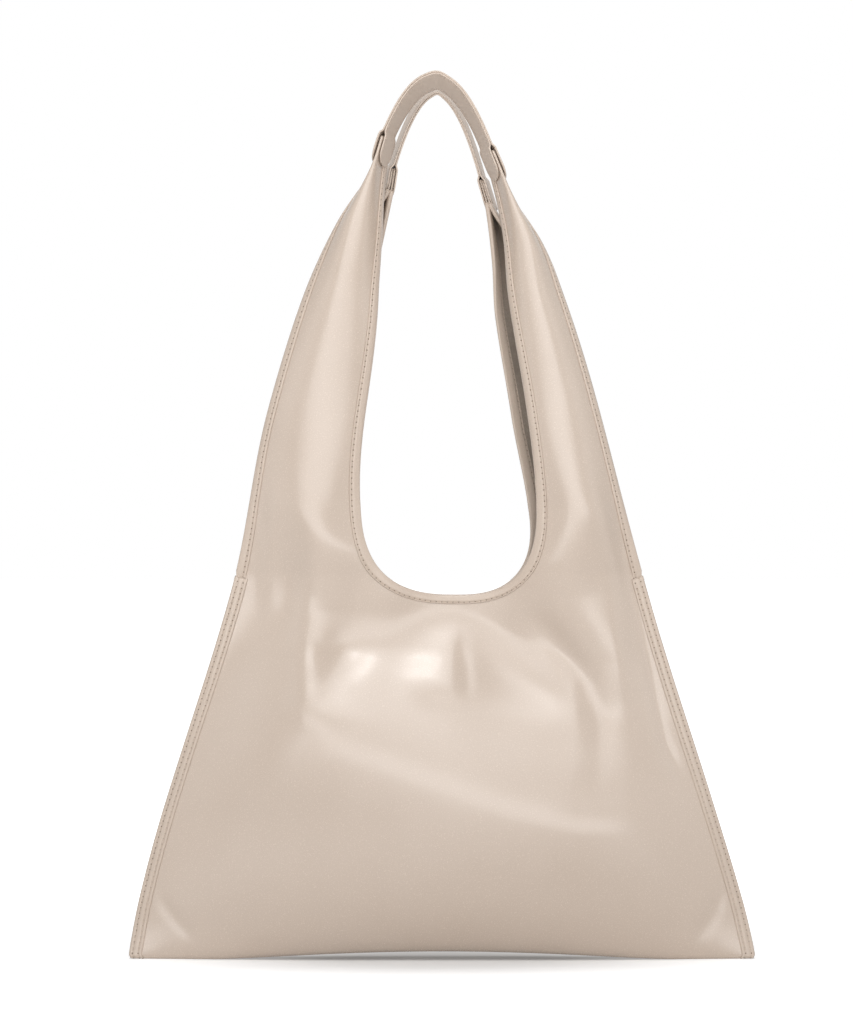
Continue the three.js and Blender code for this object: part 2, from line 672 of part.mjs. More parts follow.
// A point of a strap at a place along it, a distance off its middle and a depth from the bag's middle plane.
function strapPoint(shape, place, off, depth) {
  const flare = (shape.flare * (depth - STRAP_DEPTH)) / STRAP_WIDTH;
  const at = place.middle.clone().addScaledVector(place.out, off + flare);
  return new THREE.Vector3(at.x + lean(at.z), shape.facing * depth, at.z - shape.sunk(at.x, at.z));
}

// One layer of a strap: the outer one lies on the outside of the horns, the inner one inside the loop.
function strapLayer(shape, layer) {
  const sections = strapShares(shape).map((share) => {
    const place = strapPlace(shape, share);
    const depths = [STRAP_DEPTH - place.width / 2, STRAP_DEPTH + place.width / 2];
    const face = (off) => depths.map((depth) => strapPoint(shape, place, layer * off, depth));
    return { outer: face(place.opening(layer) + STRAP_LAYER), inner: face(place.opening(layer)) };
  });
  return stripSolid(sections);
}

// The stitching round one face of a strap.
function strapThread(shape, layer) {
  const places = strapShares(shape)
    .map((share) => strapPlace(shape, share))
    .filter(({ width }) => width > 2 * STRAP_INSET + 4 * THREAD_WIDTH);
  const run = (edge) =>
    places.map((place) => ({
      at: strapPoint(
        shape,
        place,
        layer * (place.opening(layer) + STRAP_LAYER),
        STRAP_DEPTH + edge * (place.width / 2 - STRAP_INSET),
      ),
      out: place.out.clone().multiplyScalar(layer),
    }));
  return threadSolid([...run(-1), ...run(1).reverse()], true);
}

// Snap and base strip

// A leather patch on the inside of a panel, following its curve below the mouth binding.
function patchGeometry(shape) {
  const high = BODY_HEIGHT - BINDING_WIDTH - PATCH_MARGIN;
  const columns = spread(-PATCH_WIDTH / 2, PATCH_WIDTH / 2, PATCH_COLUMNS);
  const rows = spread(high - PATCH_HEIGHT, high, PATCH_ROWS).map((height) =>
    columns.map((x) => ({ at: shape.point(x, height), out: shape.normal(x, height) })),
  );
  const face = (distance) => (row) =>
    row.map(({ at, out }) => {
      const moved = at.clone().addScaledVector(out, -distance);
      return shape.place(moved.x, moved.y, moved.z);
    });
  return stripSolid(
    rows.map((row) => ({ outer: face(panelFace + SEAT_GAP)(row), inner: face(patchFace)(row) })),
  );
}

// A snap half is turned about the Y axis and sits on its patch at the middle of the mouth.
function snapMesh(name, profile, shape) {
  const mesh = new THREE.Mesh(new THREE.LatheGeometry(profile, SNAP_SIDES), nickel);
  const height = BODY_HEIGHT - BINDING_WIDTH - PATCH_MARGIN - PATCH_HEIGHT / 2;
  mesh.name = name;
  mesh.position.set(shape.place(0, 0, height).x, (shape.facing * SEAT_GAP) / 2, height);
  mesh.rotation.x = shape.facing > 0 ? 0 : Math.PI;
  return mesh;
}

const snapRadius = SNAP_DIAMETER / 2;
const postRadius = SNAP_POST_DIAMETER / 2;
const holeRadius = postRadius + POST_CLEARANCE;
const holeDepth = SNAP_POST_LENGTH + POST_CLEARANCE;
// Profiles run from the closing face at zero to the face on the patch.
const studProfile = [
  new THREE.Vector2(0, -SNAP_POST_LENGTH),
  new THREE.Vector2(postRadius, -SNAP_POST_LENGTH),
  new THREE.Vector2(postRadius, 0),
  new THREE.Vector2(snapRadius, 0),
  new THREE.Vector2(snapRadius, SNAP_THICKNESS),
  new THREE.Vector2(0, SNAP_THICKNESS),
];
const socketProfile = [
  new THREE.Vector2(0, holeDepth),
  new THREE.Vector2(holeRadius, holeDepth),
  new THREE.Vector2(holeRadius, 0),
  new THREE.Vector2(snapRadius, 0),
  new THREE.Vector2(snapRadius, SNAP_THICKNESS),
  new THREE.Vector2(0, SNAP_THICKNESS),
];

// Half width of the strip that covers the base seam inside, and its sections along the bag.
function stripHalfWidth(shape, x) {
  return Math.max(STRIP_END / 2, shape.depth(x, 0) - STRIP_MARGIN);
}

function baseStripSections(shape) {
  const floor = (x) => PANEL_THICKNESS + baseLift(x) + SEAT_GAP;
  return spread(-STRIP_LENGTH / 2, STRIP_LENGTH / 2, STRIP_ROWS).map((x) => {
    const half = stripHalfWidth(shape, x);
    const row = (z) => [-half, 0, half].map((y) => new THREE.Vector3(x, y, z));
    return { outer: row(floor(x) + STRIP_THICKNESS), inner: row(floor(x)) };
  });
}

function baseStripThread(shape) {
  const up = new THREE.Vector3(0, 0, 1);
  const height = (x) => PANEL_THICKNESS + baseLift(x) + SEAT_GAP + STRIP_THICKNESS;
  const end = STRIP_LENGTH / 2 - STITCH_INSET;
  const run = (edge) =>
    spread(-end, end, STRIP_ROWS).map((x) => ({
      at: new THREE.Vector3(x, edge * (stripHalfWidth(shape, x) - THREAD_WIDTH), height(x)),
      out: up,
    }));
  return threadSolid([...run(-1), ...run(1).reverse()], true);
}

// The bag
const bag = new THREE.Group();
bag.name = "shopper_bag";

function add(name, geometry, material) {
  const mesh = new THREE.Mesh(geometry, material);
  mesh.name = name;
  bag.add(mesh);
}

const shapes = [shapeOf(FRONT, FRONT_MOUTH), shapeOf(BACK, BACK_MOUTH)];
const stitchesOf = (sections) => threadSolid(sections.map(({ stitch }) => stitch));

for (const shape of shapes) {
  add(shape.name + "_panel", panelGeometry(shape), leather);
  const lower = lowerMouthSections(shape);
  add(shape.name + "_mouth_binding", stripSolid(lower), bindingLeather);
  add(shape.name + "_mouth_thread", stitchesOf(lower), thread);
  add(shape.name + "_snap_patch", patchGeometry(shape), leather);
  for (const hand of HANDS) {
    const label = shape.name + "_" + hand.name;
    const slit = slitSections(shape, hand);
    const rim = mouthSections(shape, hand, boundHeights, RIM_EASE);
    add(label + "_horn", hornGeometry(shape, hand), leather);
    add(label + "_slit_binding", stripSolid(slit), bindingLeather);
    add(label + "_slit_thread", stitchesOf(slit), thread);
    add(label + "_rim_binding", stripSolid(rim), bindingLeather);
    add(label + "_rim_thread", stitchesOf(rim), thread);
  }
  add(shape.name + "_strap_outer", strapLayer(shape, 1), leather);
  add(shape.name + "_strap_inner", strapLayer(shape, -1), leather);
  add(shape.name + "_strap_outer_thread", strapThread(shape, 1), thread);
  add(shape.name + "_strap_inner_thread", strapThread(shape, -1), thread);
}

// Side bindings reach from the floor to the slit, with two rows of stitching on each face and a bar tack.
const seamHeights = [...wallRows.filter((height) => height < slitHeight - 1), slitHeight];
const tackHeights = [slitHeight - ROW_SPACING, slitHeight - SEAT_GAP];
for (const hand of HANDS) {
  const side = hand.name + "_side";
  add(side + "_binding", seamStrip(shapes, hand, seamHeights, bindingSeat, bindingFace), bindingLeather);
  const sewn = seamHeights.filter((h) => h > CORNER_DEPTH + 1 && h < tackHeights[0] - 1);
  const threadHeights = [CORNER_DEPTH, ...sewn];
  const places = threadHeights.map((height) => seamSection(shapes, hand, height, bindingFace, edgeCover));
  const rows = { front_inner: 1, front_outer: 2, back_outer: 5, back_inner: 6 };
  for (const [row, column] of Object.entries(rows)) {
    add(side + "_thread_" + row, threadSolid(places.map((section) => section[column])), thread);
  }
  const tackSeat = bindingFace + SEAT_GAP;
  const tack = seamStrip(shapes, hand, tackHeights, tackSeat, tackSeat + THREAD_HEIGHT);
  add(hand.name + "_bar_tack", tack, thread);
}

const [frontShape, backShape] = shapes;
add("base_strip", stripSolid(baseStripSections(frontShape)), tape);
add("base_strip_thread", baseStripThread(frontShape), thread);
bag.add(snapMesh("snap_stud", studProfile, frontShape));
bag.add(snapMesh("snap_socket", socketProfile, backShape));

export default bag;
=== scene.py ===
import json
import math

import bmesh
import bpy
import numpy as np
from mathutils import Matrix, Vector


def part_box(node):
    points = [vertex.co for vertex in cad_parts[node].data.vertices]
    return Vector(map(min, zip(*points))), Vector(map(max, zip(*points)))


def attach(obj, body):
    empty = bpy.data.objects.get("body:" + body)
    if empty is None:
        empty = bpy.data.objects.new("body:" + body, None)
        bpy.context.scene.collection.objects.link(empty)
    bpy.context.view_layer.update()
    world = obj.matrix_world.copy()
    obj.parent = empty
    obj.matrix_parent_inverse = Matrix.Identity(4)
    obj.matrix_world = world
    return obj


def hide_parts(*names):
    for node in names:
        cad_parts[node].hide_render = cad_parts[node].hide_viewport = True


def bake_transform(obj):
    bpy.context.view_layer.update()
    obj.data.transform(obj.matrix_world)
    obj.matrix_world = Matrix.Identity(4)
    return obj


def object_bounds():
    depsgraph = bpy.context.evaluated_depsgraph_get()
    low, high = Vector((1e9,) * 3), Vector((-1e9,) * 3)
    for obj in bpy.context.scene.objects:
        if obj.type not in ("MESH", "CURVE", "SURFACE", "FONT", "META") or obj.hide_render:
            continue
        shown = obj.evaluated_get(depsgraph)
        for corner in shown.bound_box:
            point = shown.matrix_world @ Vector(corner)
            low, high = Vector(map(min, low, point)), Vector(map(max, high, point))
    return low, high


bl_info = {
    "name": "Shopper Bag",
    "version": (1, 0, 0),
    "blender": (4, 5, 0),
    "location": "View3D > Sidebar > Bag",
    "description": "Builds a soft leather shopper bag round its packed frame",
    "category": "Object",
}

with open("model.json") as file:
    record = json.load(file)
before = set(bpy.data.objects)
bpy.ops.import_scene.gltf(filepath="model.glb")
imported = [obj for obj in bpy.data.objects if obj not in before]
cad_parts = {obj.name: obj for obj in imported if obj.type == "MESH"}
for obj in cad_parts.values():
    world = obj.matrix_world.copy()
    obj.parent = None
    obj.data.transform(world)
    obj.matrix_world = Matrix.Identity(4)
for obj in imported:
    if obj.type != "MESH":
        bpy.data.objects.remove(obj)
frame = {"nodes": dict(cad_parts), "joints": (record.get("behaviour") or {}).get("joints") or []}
CAD_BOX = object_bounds()
FOLD_HEIGHT = frame["joints"][0]["pos_m"][2]
SLIT_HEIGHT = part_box("left_side_binding")[1].z
BAG_WIDTH = CAD_BOX[1].x - CAD_BOX[0].x

# MOUTH_RISE is measured from the mouth's lowest point up to its widest part. The rises of the horns'
# shoulders, necks, napes and tips start at that widest part, and HIP_HEIGHT starts at the floor
MOUTH_RISE = 0.0688
SHOULDER_RISE = 0.065
NECK_RISE = 0.144
NAPE_RISE = 0.192
HIP_HEIGHT = 0.042
HORN_RISE = 0.254
MOUTH_ROUNDNESS = 2.65

# Depths from the bag's middle plane to the middle of the leather
MOUTH_DEPTH = 0.004875
BASE_DEPTH = 0.015
CORNER_DEPTH = 0.004
SEAM_DEPTH = 0.000875
SLIT_DEPTH = 0.002125
RIM_DEPTH = 0.013
TIP_DEPTH = 0.005
SLIT_OPENING = 0.004
STRAP_DEPTH = 0.0155

# Swellings of the leather and how they are rounded
BELLY_RIDGE = 0.005
CHEST_RIDGE = 0.016
MOUTH_RIDGE = 0.017
CURL_DEPTH = 0.012
TIP_CURL = 0.022
PINCH_HEIGHT = 0.0112
BELLY_SLOPE = (
    (0.0, 1.0), (0.1, 0.985), (0.2, 0.93), (0.45, 0.655),
    (0.62, 0.47), (0.78, 0.215), (0.9, 0.085), (1.0, 0.0),
)
BELLY_ROUNDNESS = 2.2
SHOULDER_ROUNDNESS = 2.0
TIP_ROUNDNESS = 4.0
CORNER_HEIGHT = 0.030
CORNER_ROUND = 0.004

# The base arches off the floor, the bag leans to the left with height, and the horns and straps tilt down
# to the right
BASE_LIFT = 0.006
LIFT_LENGTH = 0.325
LIFT_ROUNDNESS = 1.4
TIP_LEAN = 0.0032
NAPE_LEAN = 0.0030
NECK_LEAN = 0.006
BELLY_LEAN = 0.002
TILT = 0.13

# Straps over the horn tips
TAB_LENGTH = 0.020
TAB_ROUND = 0.010
TAB_FOLD = 0.0036
TIP_FOLD = 0.0016
TAB_CLEARANCE = 0.0004
SPLIT_RISE = 0.0038
LAYER_GAP = 0.0001
CROWN_PEAK = 0.0012
CROWN_WIDTH = 0.12
STRAP_CROWN = 0.0003
STRAP_GROOVE = 0.0003
STRAP_GROOVE_WIDTH = 0.0008
STRAP_EDGE = 0.0004
THREAD_SINK = 0.0002
TAB_TURN = (8.0, 90.0)
SEWN_LEAST = 4

# How the belly hangs lower on one hand: its reach across the bag, the shares of the belly's height where it
# starts and closes, and the length in which it turns
SAG_REACH = 0.1
SAG_START = 0.4
SAG_CLOSE = 1.5
SAG_TURN = 0.016

# Folds: the share of a fold in which it rises, and the distances from a sewn edge between which it fades
FOLD_TAPER = 0.3
FOLD_FADE = (0.004, 0.020)

# Bindings: points across a section, the puff between the edges, the groove of a stitching row, the rolled
# inner edge, how far they run under a strap's tab, the narrow bottom of the mouth's binding, how they overlap
# and thin out where a side seam ends, and where a side binding turns level near the floor
BINDING_STEPS = 10
ROW_SHIFTS = (-0.0011, -0.0005, 0.0, 0.0005, 0.0011)
END_SHIFTS = (0.0003, 0.0009)
PUFF_RISE = 0.00045
PUFF_POWER = 0.8
GROOVE_DEPTH = 0.00045
GROOVE_WIDTH = 0.00065
ROLL_DEPTH = 0.0007
ROLL_WIDTH = 0.00035
BINDING_REACH = 0.004
MOUTH_NARROW = 0.74
NARROW_RISE = 0.03
SLIT_OVERLAP = 0.004
SLIT_THIN = 0.1
SIDE_THIN = 0.3
THIN_LENGTH = 0.003
THIN_START = 0.0005
LEVEL_RISE = 0.03
OUT_LEAST = 0.008

# A stitch: its half length and the reach over which its direction is read as shares of the pitch, its
# roundness, how it rises and how its ends dip. Then the rise of a bar tack, and which points of a side row
# and of the tape's rows are sewn
STITCH_REACH = 0.43
STITCH_AHEAD = 0.3
STITCH_ROUND = 0.8
STITCH_RISE = 0.25
STITCH_DIP = 0.75
TACK_RISE = 0.0003
SEAM_SEWN = slice(2, -3)
TAPE_SEWN = slice(2, -2)

# Turned-under base, snap patches and the tape over the base seam
UNDER_SHARES = (0.8, 0.6, 0.35, 0.03)
UNDER_GAP = 0.0002
PATCH_ROUND = 0.09
PATCH_INSET = 0.0014
PATCH_THICKNESS = 0.0011
TAPE_THICKNESS = 0.0012
TAPE_INSET = 0.003
TAPE_LEAST = 0.0015
TAPE_ROW = 0.0008
CUT_EDGE = 0.0003

# Counts of points, and how much a panel's rows crowd towards its outer edge
HORN_STEPS, SIDE_STEPS, BASE_STEPS = 64, 86, 57
PANEL_ROWS = 73
ROW_CROWDING = 1.25
INSIDE_STEPS = 40
RIM_STEPS, RIM_TURN_STEPS = 100, 64
SLIT_STEPS = 124
SEAM_STEPS = 112
EDGE_TURN_STEPS = 9
SEAM_TURN_STEPS = 11
TAB_STEPS, LEG_STEPS, STRAP_ROWS = 10, 40, 13
PATCH_STEPS, PATCH_ROWS = 33, 21
TAPE_STEPS, TAPE_ROWS = 96, 9
STITCH_SEGMENTS = 6
STITCH_RUN = 24
TACK_POINTS = 5

# Looks: spreads of a noise's values, the soft edges of a needle hole and of its groove in stitches, and the
# fineness of grain and weave
NOISE_MIDDLE = (0.3, 0.7)
NOISE_SPREAD = (0.2, 0.8)
HOLE_EDGE = (0.07, 0.17)
GROOVE_EDGE = (0.04, 0.26)
PEBBLE_SCALE = 1100.0
WEAVE_SCALE = 1100.0

# Floor: its tone, how far it lies below the bag, the half sizes of the painted shadow's dark middle, the
# glow under and beside the bag, which is lowered there to paint the shadow, the glow near and far from it,
# and the least glow that other rays see, with which the floor lights the bag from below as painted light
FLOOR_TONE = 0.74
FLOOR_DROP = 0.0003
SHADOW_SIZE = (0.19, 0.12)
SHADOW_SHIFT = 0.1
SHADOW_GLOW = (0.3, 1.2, 0.25, 1.0)
FLOOR_GLOW = (0.20, 0.7, 0.50, 0.92)
LEAST_GLOW = 0.45

# Lamps: name, the property with the power, width and height, place and aim
LAMPS = (
    ("key_light", "key_power", (1.1, 1.17), (0.0, -1.154, 1.427), (0.0, 0.0, 0.20)),
    ("core_light", "core_power", (0.17, 0.24), (-0.04, -1.15, 1.36), (0.0, 0.0, 0.20)),
    ("front_light", "front_power", (2.4, 0.7), (0.0, -3.0, 1.3), (0.0, 0.0, 0.35)),
    ("fill_light", "fill_power", (6.0, 1.0), (0.0, -4.2, 0.66), (0.0, 0.0, 0.35)),
    ("top_light", "top_power", (1.4, 1.0), (0.0, 0.75, 2.1), (0.0, 0.0, 0.0)),
    ("left_light", "side_power", (0.6, 1.2), (-1.5, -0.75, 0.5), (0.0, 0.0, 0.30)),
    ("right_light", "side_power", (0.6, 1.2), (1.5, -0.75, 0.5), (0.0, 0.0, 0.30)),
)

# The two sides: facing is the sign of y, span is between the middles of the horn tips, rise is from the
# tips to the strap's top, flare turns a strap at its ends and crown flare at its top, and drop sinks the
# horn tips. Mouth is how far the mouth's edges lie to the right at its bottom, widest part, shoulders and
# necks. Sag makes the belly hang lower on the right, or on the left where it is negative. Crests are where
# the swelling beside the mouth is highest, as heights and shares of the way to the side's edge. Each fold has
# its path across the panel as x and height, how far it stands out and how wide it is.
FRONT = {
    "name": "front",
    "facing": -1.0,
    "span": 0.072,
    "rise": 0.0445,
    "flare": 0.0070,
    "crown_flare": 0.0095,
    "drop": 0.0,
    "mouth": (0.0125, 0.0085, 0.009, 0.007),
    "sag": 0.36,
    "left_crest": ((0.112, 0.50), (0.174, 0.55), (0.203, 0.60), (0.285, 0.46), (0.393, 0.50)),
    "right_crest": ((0.112, 0.60), (0.174, 0.65), (0.203, 0.69), (0.285, 0.55), (0.393, 0.50)),
    "folds": (
        (((-0.094, 0.340), (-0.092, 0.290), (-0.098, 0.222), (-0.098, 0.184), (-0.08, 0.15)), 0.003, 0.011),
        (((-0.058, 0.300), (-0.065, 0.262), (-0.071, 0.228), (-0.080, 0.190)), -0.0050, 0.016),
        (((-0.008, 0.242), (-0.006, 0.178)), 0.0016, 0.022),
        (((0.002, 0.236), (0.014, 0.184)), -0.0008, 0.006),
        (((-0.121, 0.364), (-0.123, 0.232)), 0.0014, 0.008),
        (((0.112, 0.352), (0.121, 0.302), (0.124, 0.230), (0.124, 0.150)), 0.0020, 0.012),
        (((0.030, 0.250), (0.062, 0.224), (0.088, 0.194), (0.098, 0.166), (0.096, 0.10)), 0.0010, 0.011),
        (((0.046, 0.256), (0.077, 0.230), (0.102, 0.200), (0.112, 0.170), (0.110, 0.10)), -0.0030, 0.010),
        (((0.131, 0.350), (0.142, 0.256), (0.160, 0.156), (0.178, 0.120)), -0.0012, 0.005),
        (((-0.206, 0.050), (-0.175, 0.010)), -0.0009, 0.004),
        (((0.206, 0.052), (0.180, 0.008)), -0.0009, 0.004),
    ),
}
BACK = {
    "name": "back",
    "facing": 1.0,
    "span": 0.066,
    "rise": 0.059,
    "flare": 0.0038,
    "crown_flare": 0.0050,
    "drop": 0.020,
    "mouth": (0.0120, 0.0025, -0.002, -0.002),
    "sag": -0.25,
    "left_crest": ((0.112, 0.55), (0.203, 0.64), (0.285, 0.52), (0.393, 0.50)),
    "right_crest": ((0.112, 0.50), (0.203, 0.58), (0.285, 0.47), (0.393, 0.50)),
    "folds": (
        (((-0.110, 0.320), (-0.104, 0.240), (-0.090, 0.180)), 0.0032, 0.014),
        (((0.090, 0.330), (0.094, 0.250), (0.104, 0.190)), 0.0035, 0.013),
        (((-0.050, 0.235), (-0.074, 0.180), (-0.082, 0.130)), -0.0028, 0.012),
        (((0.150, 0.240), (0.166, 0.160), (0.182, 0.110)), -0.0012, 0.005),
        (((0.204, 0.046), (0.182, 0.022)), -0.0010, 0.004),
    ),
}
SIDES = (FRONT, BACK)
HANDS = (("left", -1.0), ("right", 1.0))


# Properties


def length(label, text, value):
    """A length in metres that a user may change."""
    return bpy.props.FloatProperty(
        name=label, description=text, default=value, min=0.0, unit="LENGTH", precision=4
    )


def colour(label, text, value):
    """A colour that a user may change."""
    return bpy.props.FloatVectorProperty(
        name=label, description=text, default=value, size=3, min=0.0, max=1.0, subtype="COLOR"
    )


def number(label, text, value):
    """A plain number that a user may change."""
    return bpy.props.FloatProperty(name=label, description=text, default=value, min=0.0, precision=3)


class BagSizes(bpy.types.PropertyGroup):
    """Sizes of the bag's leather pieces."""

    body_height: length("Body height", "Floor to the lowest point of the mouth", 0.2592)
    base_width: length("Base width", "Width over both side bindings", BAG_WIDTH)
    hip_width: length("Hip width", "Width where the sides turn in towards the bottom corners", 0.4295)
    slit_width: length("Slit width", "Width where the side slits start", 0.290)
    shoulder_width: length("Shoulder width", "Width over the horns at their shoulders", 0.235)
    neck_width: length("Neck width", "Width over the horns at their necks", 0.186)
    nape_width: length("Nape width", "Width over the horns below the straps", 0.146)
    mouth_width: length("Mouth width", "Widest part of the mouth", 0.128)
    mouth_neck_width: length("Mouth neck width", "Mouth between the horns' necks", 0.095)
    belly_depth: length("Belly depth", "Middle plane to the front of the belly", 0.040)
    belly_height: length("Belly height", "Floor to the fullest part of the belly", 0.112)
    panel_thickness: length("Panel thickness", "Thickness of a leather panel", 0.0014)
    strap_width: length("Strap width", "Width of a strap", 0.025)
    strap_layer: length("Strap layer", "Thickness of one layer of a strap", 0.0010)
    patch_width: length("Patch width", "Width of a patch behind the snap", 0.044)
    patch_height: length("Patch height", "Height of a patch behind the snap", 0.028)
    strip_length: length("Base strip length", "Length of the tape over the base seam", 0.380)


class BagSewing(bpy.types.PropertyGroup):
    """Sizes of the bindings and the stitching."""

    binding_thickness: length("Binding thickness", "Thickness of a folded binding", 0.0009)
    edge_cover: length("Edge cover", "How far a binding's fold stands beyond the leather's edge", 0.00125)
    mouth_width: length("Mouth binding", "Width of the mouth binding on the leather", 0.0074)
    mouth_row: length("Mouth row", "Stitching from the mouth's edge", 0.0057)
    slit_width: length("Slit binding", "Width of a slit binding on the leather", 0.0070)
    slit_row: length("Slit row", "Stitching from a slit's edge", 0.0046)
    side_width: length("Side binding", "Width of a side binding on the leather", 0.0087)
    side_outer_row: length("Outer side row", "Outer stitching from a side's edge", 0.0018)
    side_inner_row: length("Inner side row", "Inner stitching from a side's edge", 0.0061)
    strap_row: length("Strap row", "Stitching from a strap's edge", 0.0025)
    stitch_pitch: length("Stitch pitch", "Length from one stitch to the next", 0.0040)
    thread_width: length("Thread width", "Width of a stitch", 0.0008)


class BagColours(bpy.types.PropertyGroup):
    """Colours and finish of the bag."""

    leather: colour("Leather", "Colour of the panels and straps", (0.545, 0.447, 0.370))
    # The darker tone is also used as painted shade along the bindings' stitching grooves
    shade: colour("Leather shade", "Darker tone in the leather", (0.518, 0.420, 0.343))
    binding: colour("Binding", "Colour of the bindings", (0.568, 0.470, 0.392))
    backing: colour("Backing", "Colour of the leather's inside", (0.420, 0.350, 0.290))
    thread: colour("Thread", "Colour of the stitching", (0.640, 0.520, 0.420))
    # Painted shade: the needle holes are filled with this dark colour, standing for the shade inside them
    hole: colour("Stitch hole", "Colour in the needle holes", (0.170, 0.120, 0.085))
    tape: colour("Tape", "Colour of the woven tape", (0.480, 0.410, 0.340))
    nickel: colour("Nickel", "Colour of the snap", (0.600, 0.585, 0.560))
    gloss: number("Leather roughness", "Roughness of the leather", 0.24)
    strap_gloss: number("Strap roughness", "Roughness of the straps' leather", 0.50)


class BagStage(bpy.types.PropertyGroup):
    """Floor, lights and camera."""

    camera_distance: length("Camera distance", "Camera to the bag's middle plane", 3.6)
    camera_height: length("Camera height", "Camera above the floor", 0.3196)
    camera_aside: bpy.props.FloatProperty(
        name="Camera aside", description="Camera sideways", default=-0.0111, unit="LENGTH", precision=4
    )
    focal_length: number("Focal length", "Camera lens in millimetres", 176.6)
    key_power: number("Key light", "Power of the soft light above the front in watts", 9.4)
    core_power: number("Core light", "Power of the key light's bright middle in watts", 1.6)
    front_power: number("Front light", "Power of the low light above the camera in watts", 6.0)
    fill_power: number("Fill light", "Power of the wide light behind the camera in watts", 44.0)
    side_power: number("Side light", "Power of each side light in watts", 1.0)
    top_power: number("Top light", "Power of the light above and behind in watts", 7.0)
    room_light: number("Room light", "Strength of the light from all round", 0.38)


# The shape of the soft bag


def smooth_step(value, low, high):
    """A smooth rise from 0 at low to 1 at high."""
    share = np.clip((value - low) / (high - low), 0.0, 1.0)
    return share * share * (3.0 - 2.0 * share)


def mix(start, end, share):
    """The value at a share of the way from start to end."""
    return start + (end - start) * share


def unit(ways):
    """Directions with a length of one."""
    return ways / np.linalg.norm(ways, axis=-1, keepdims=True)


def mirrored(half):
    """A path from its left end to its right end, from its right half."""
    return np.concatenate((half * (-1, 1), half[-2::-1]))


def curve_through(points, start_slope=None):
    """A smooth function through points of height and value."""
    heights = np.array([point[0] for point in points], float)
    values = np.array([point[1] for point in points], float)
    secants = np.diff(values) / np.diff(heights)
    slopes = np.empty(len(points))
    slopes[0] = secants[0] if start_slope is None else start_slope
    slopes[-1] = secants[-1]
    same_way = secants[:-1] * secants[1:] > 0
    slopes[1:-1] = np.where(same_way, (secants[:-1] + secants[1:]) / 2, 0.0)

    def value_at(height):
        height = np.asarray(height, float)
        index = np.clip(np.searchsorted(heights, height) - 1, 0, len(points) - 2)
        span = heights[index + 1] - heights[index]
        share = np.clip((height - heights[index]) / span, 0.0, 1.0)
        rest = 1.0 - share
        low = values[index] * rest * rest * (1 + 2 * share)
        high = values[index + 1] * share * share * (3 - 2 * share)
        bend = slopes[index] * share * rest * rest - slopes[index + 1] * share * share * rest
        return low + high + span * bend

    return value_at


def path_places(x, height, path):
    """Distance of each place from a path of points across the panel, and its share of the way along."""
    nearest = np.full(np.shape(x), np.inf)
    share = np.zeros(np.shape(x))
    for index, ((start_x, start_h), (end_x, end_h)) in enumerate(zip(path, path[1:])):
        run, rise = end_x - start_x, end_h - start_h
        along = ((x - start_x) * run + (height - start_h) * rise) / (run * run + rise * rise)
        along = np.clip(along, 0.0, 1.0)
        gap = np.hypot(x - start_x - along * run, height - start_h - along * rise)
        share = np.where(gap < nearest, (index + along) / (len(path) - 1), share)
        nearest = np.minimum(nearest, gap)
    return nearest, share


def base_arch(x):
    """How far the middle of the base is lifted off the floor."""
    share = np.minimum(1.0, np.abs(x) / (LIFT_LENGTH / 2))
    return BASE_LIFT * (1 - share * share) ** LIFT_ROUNDNESS


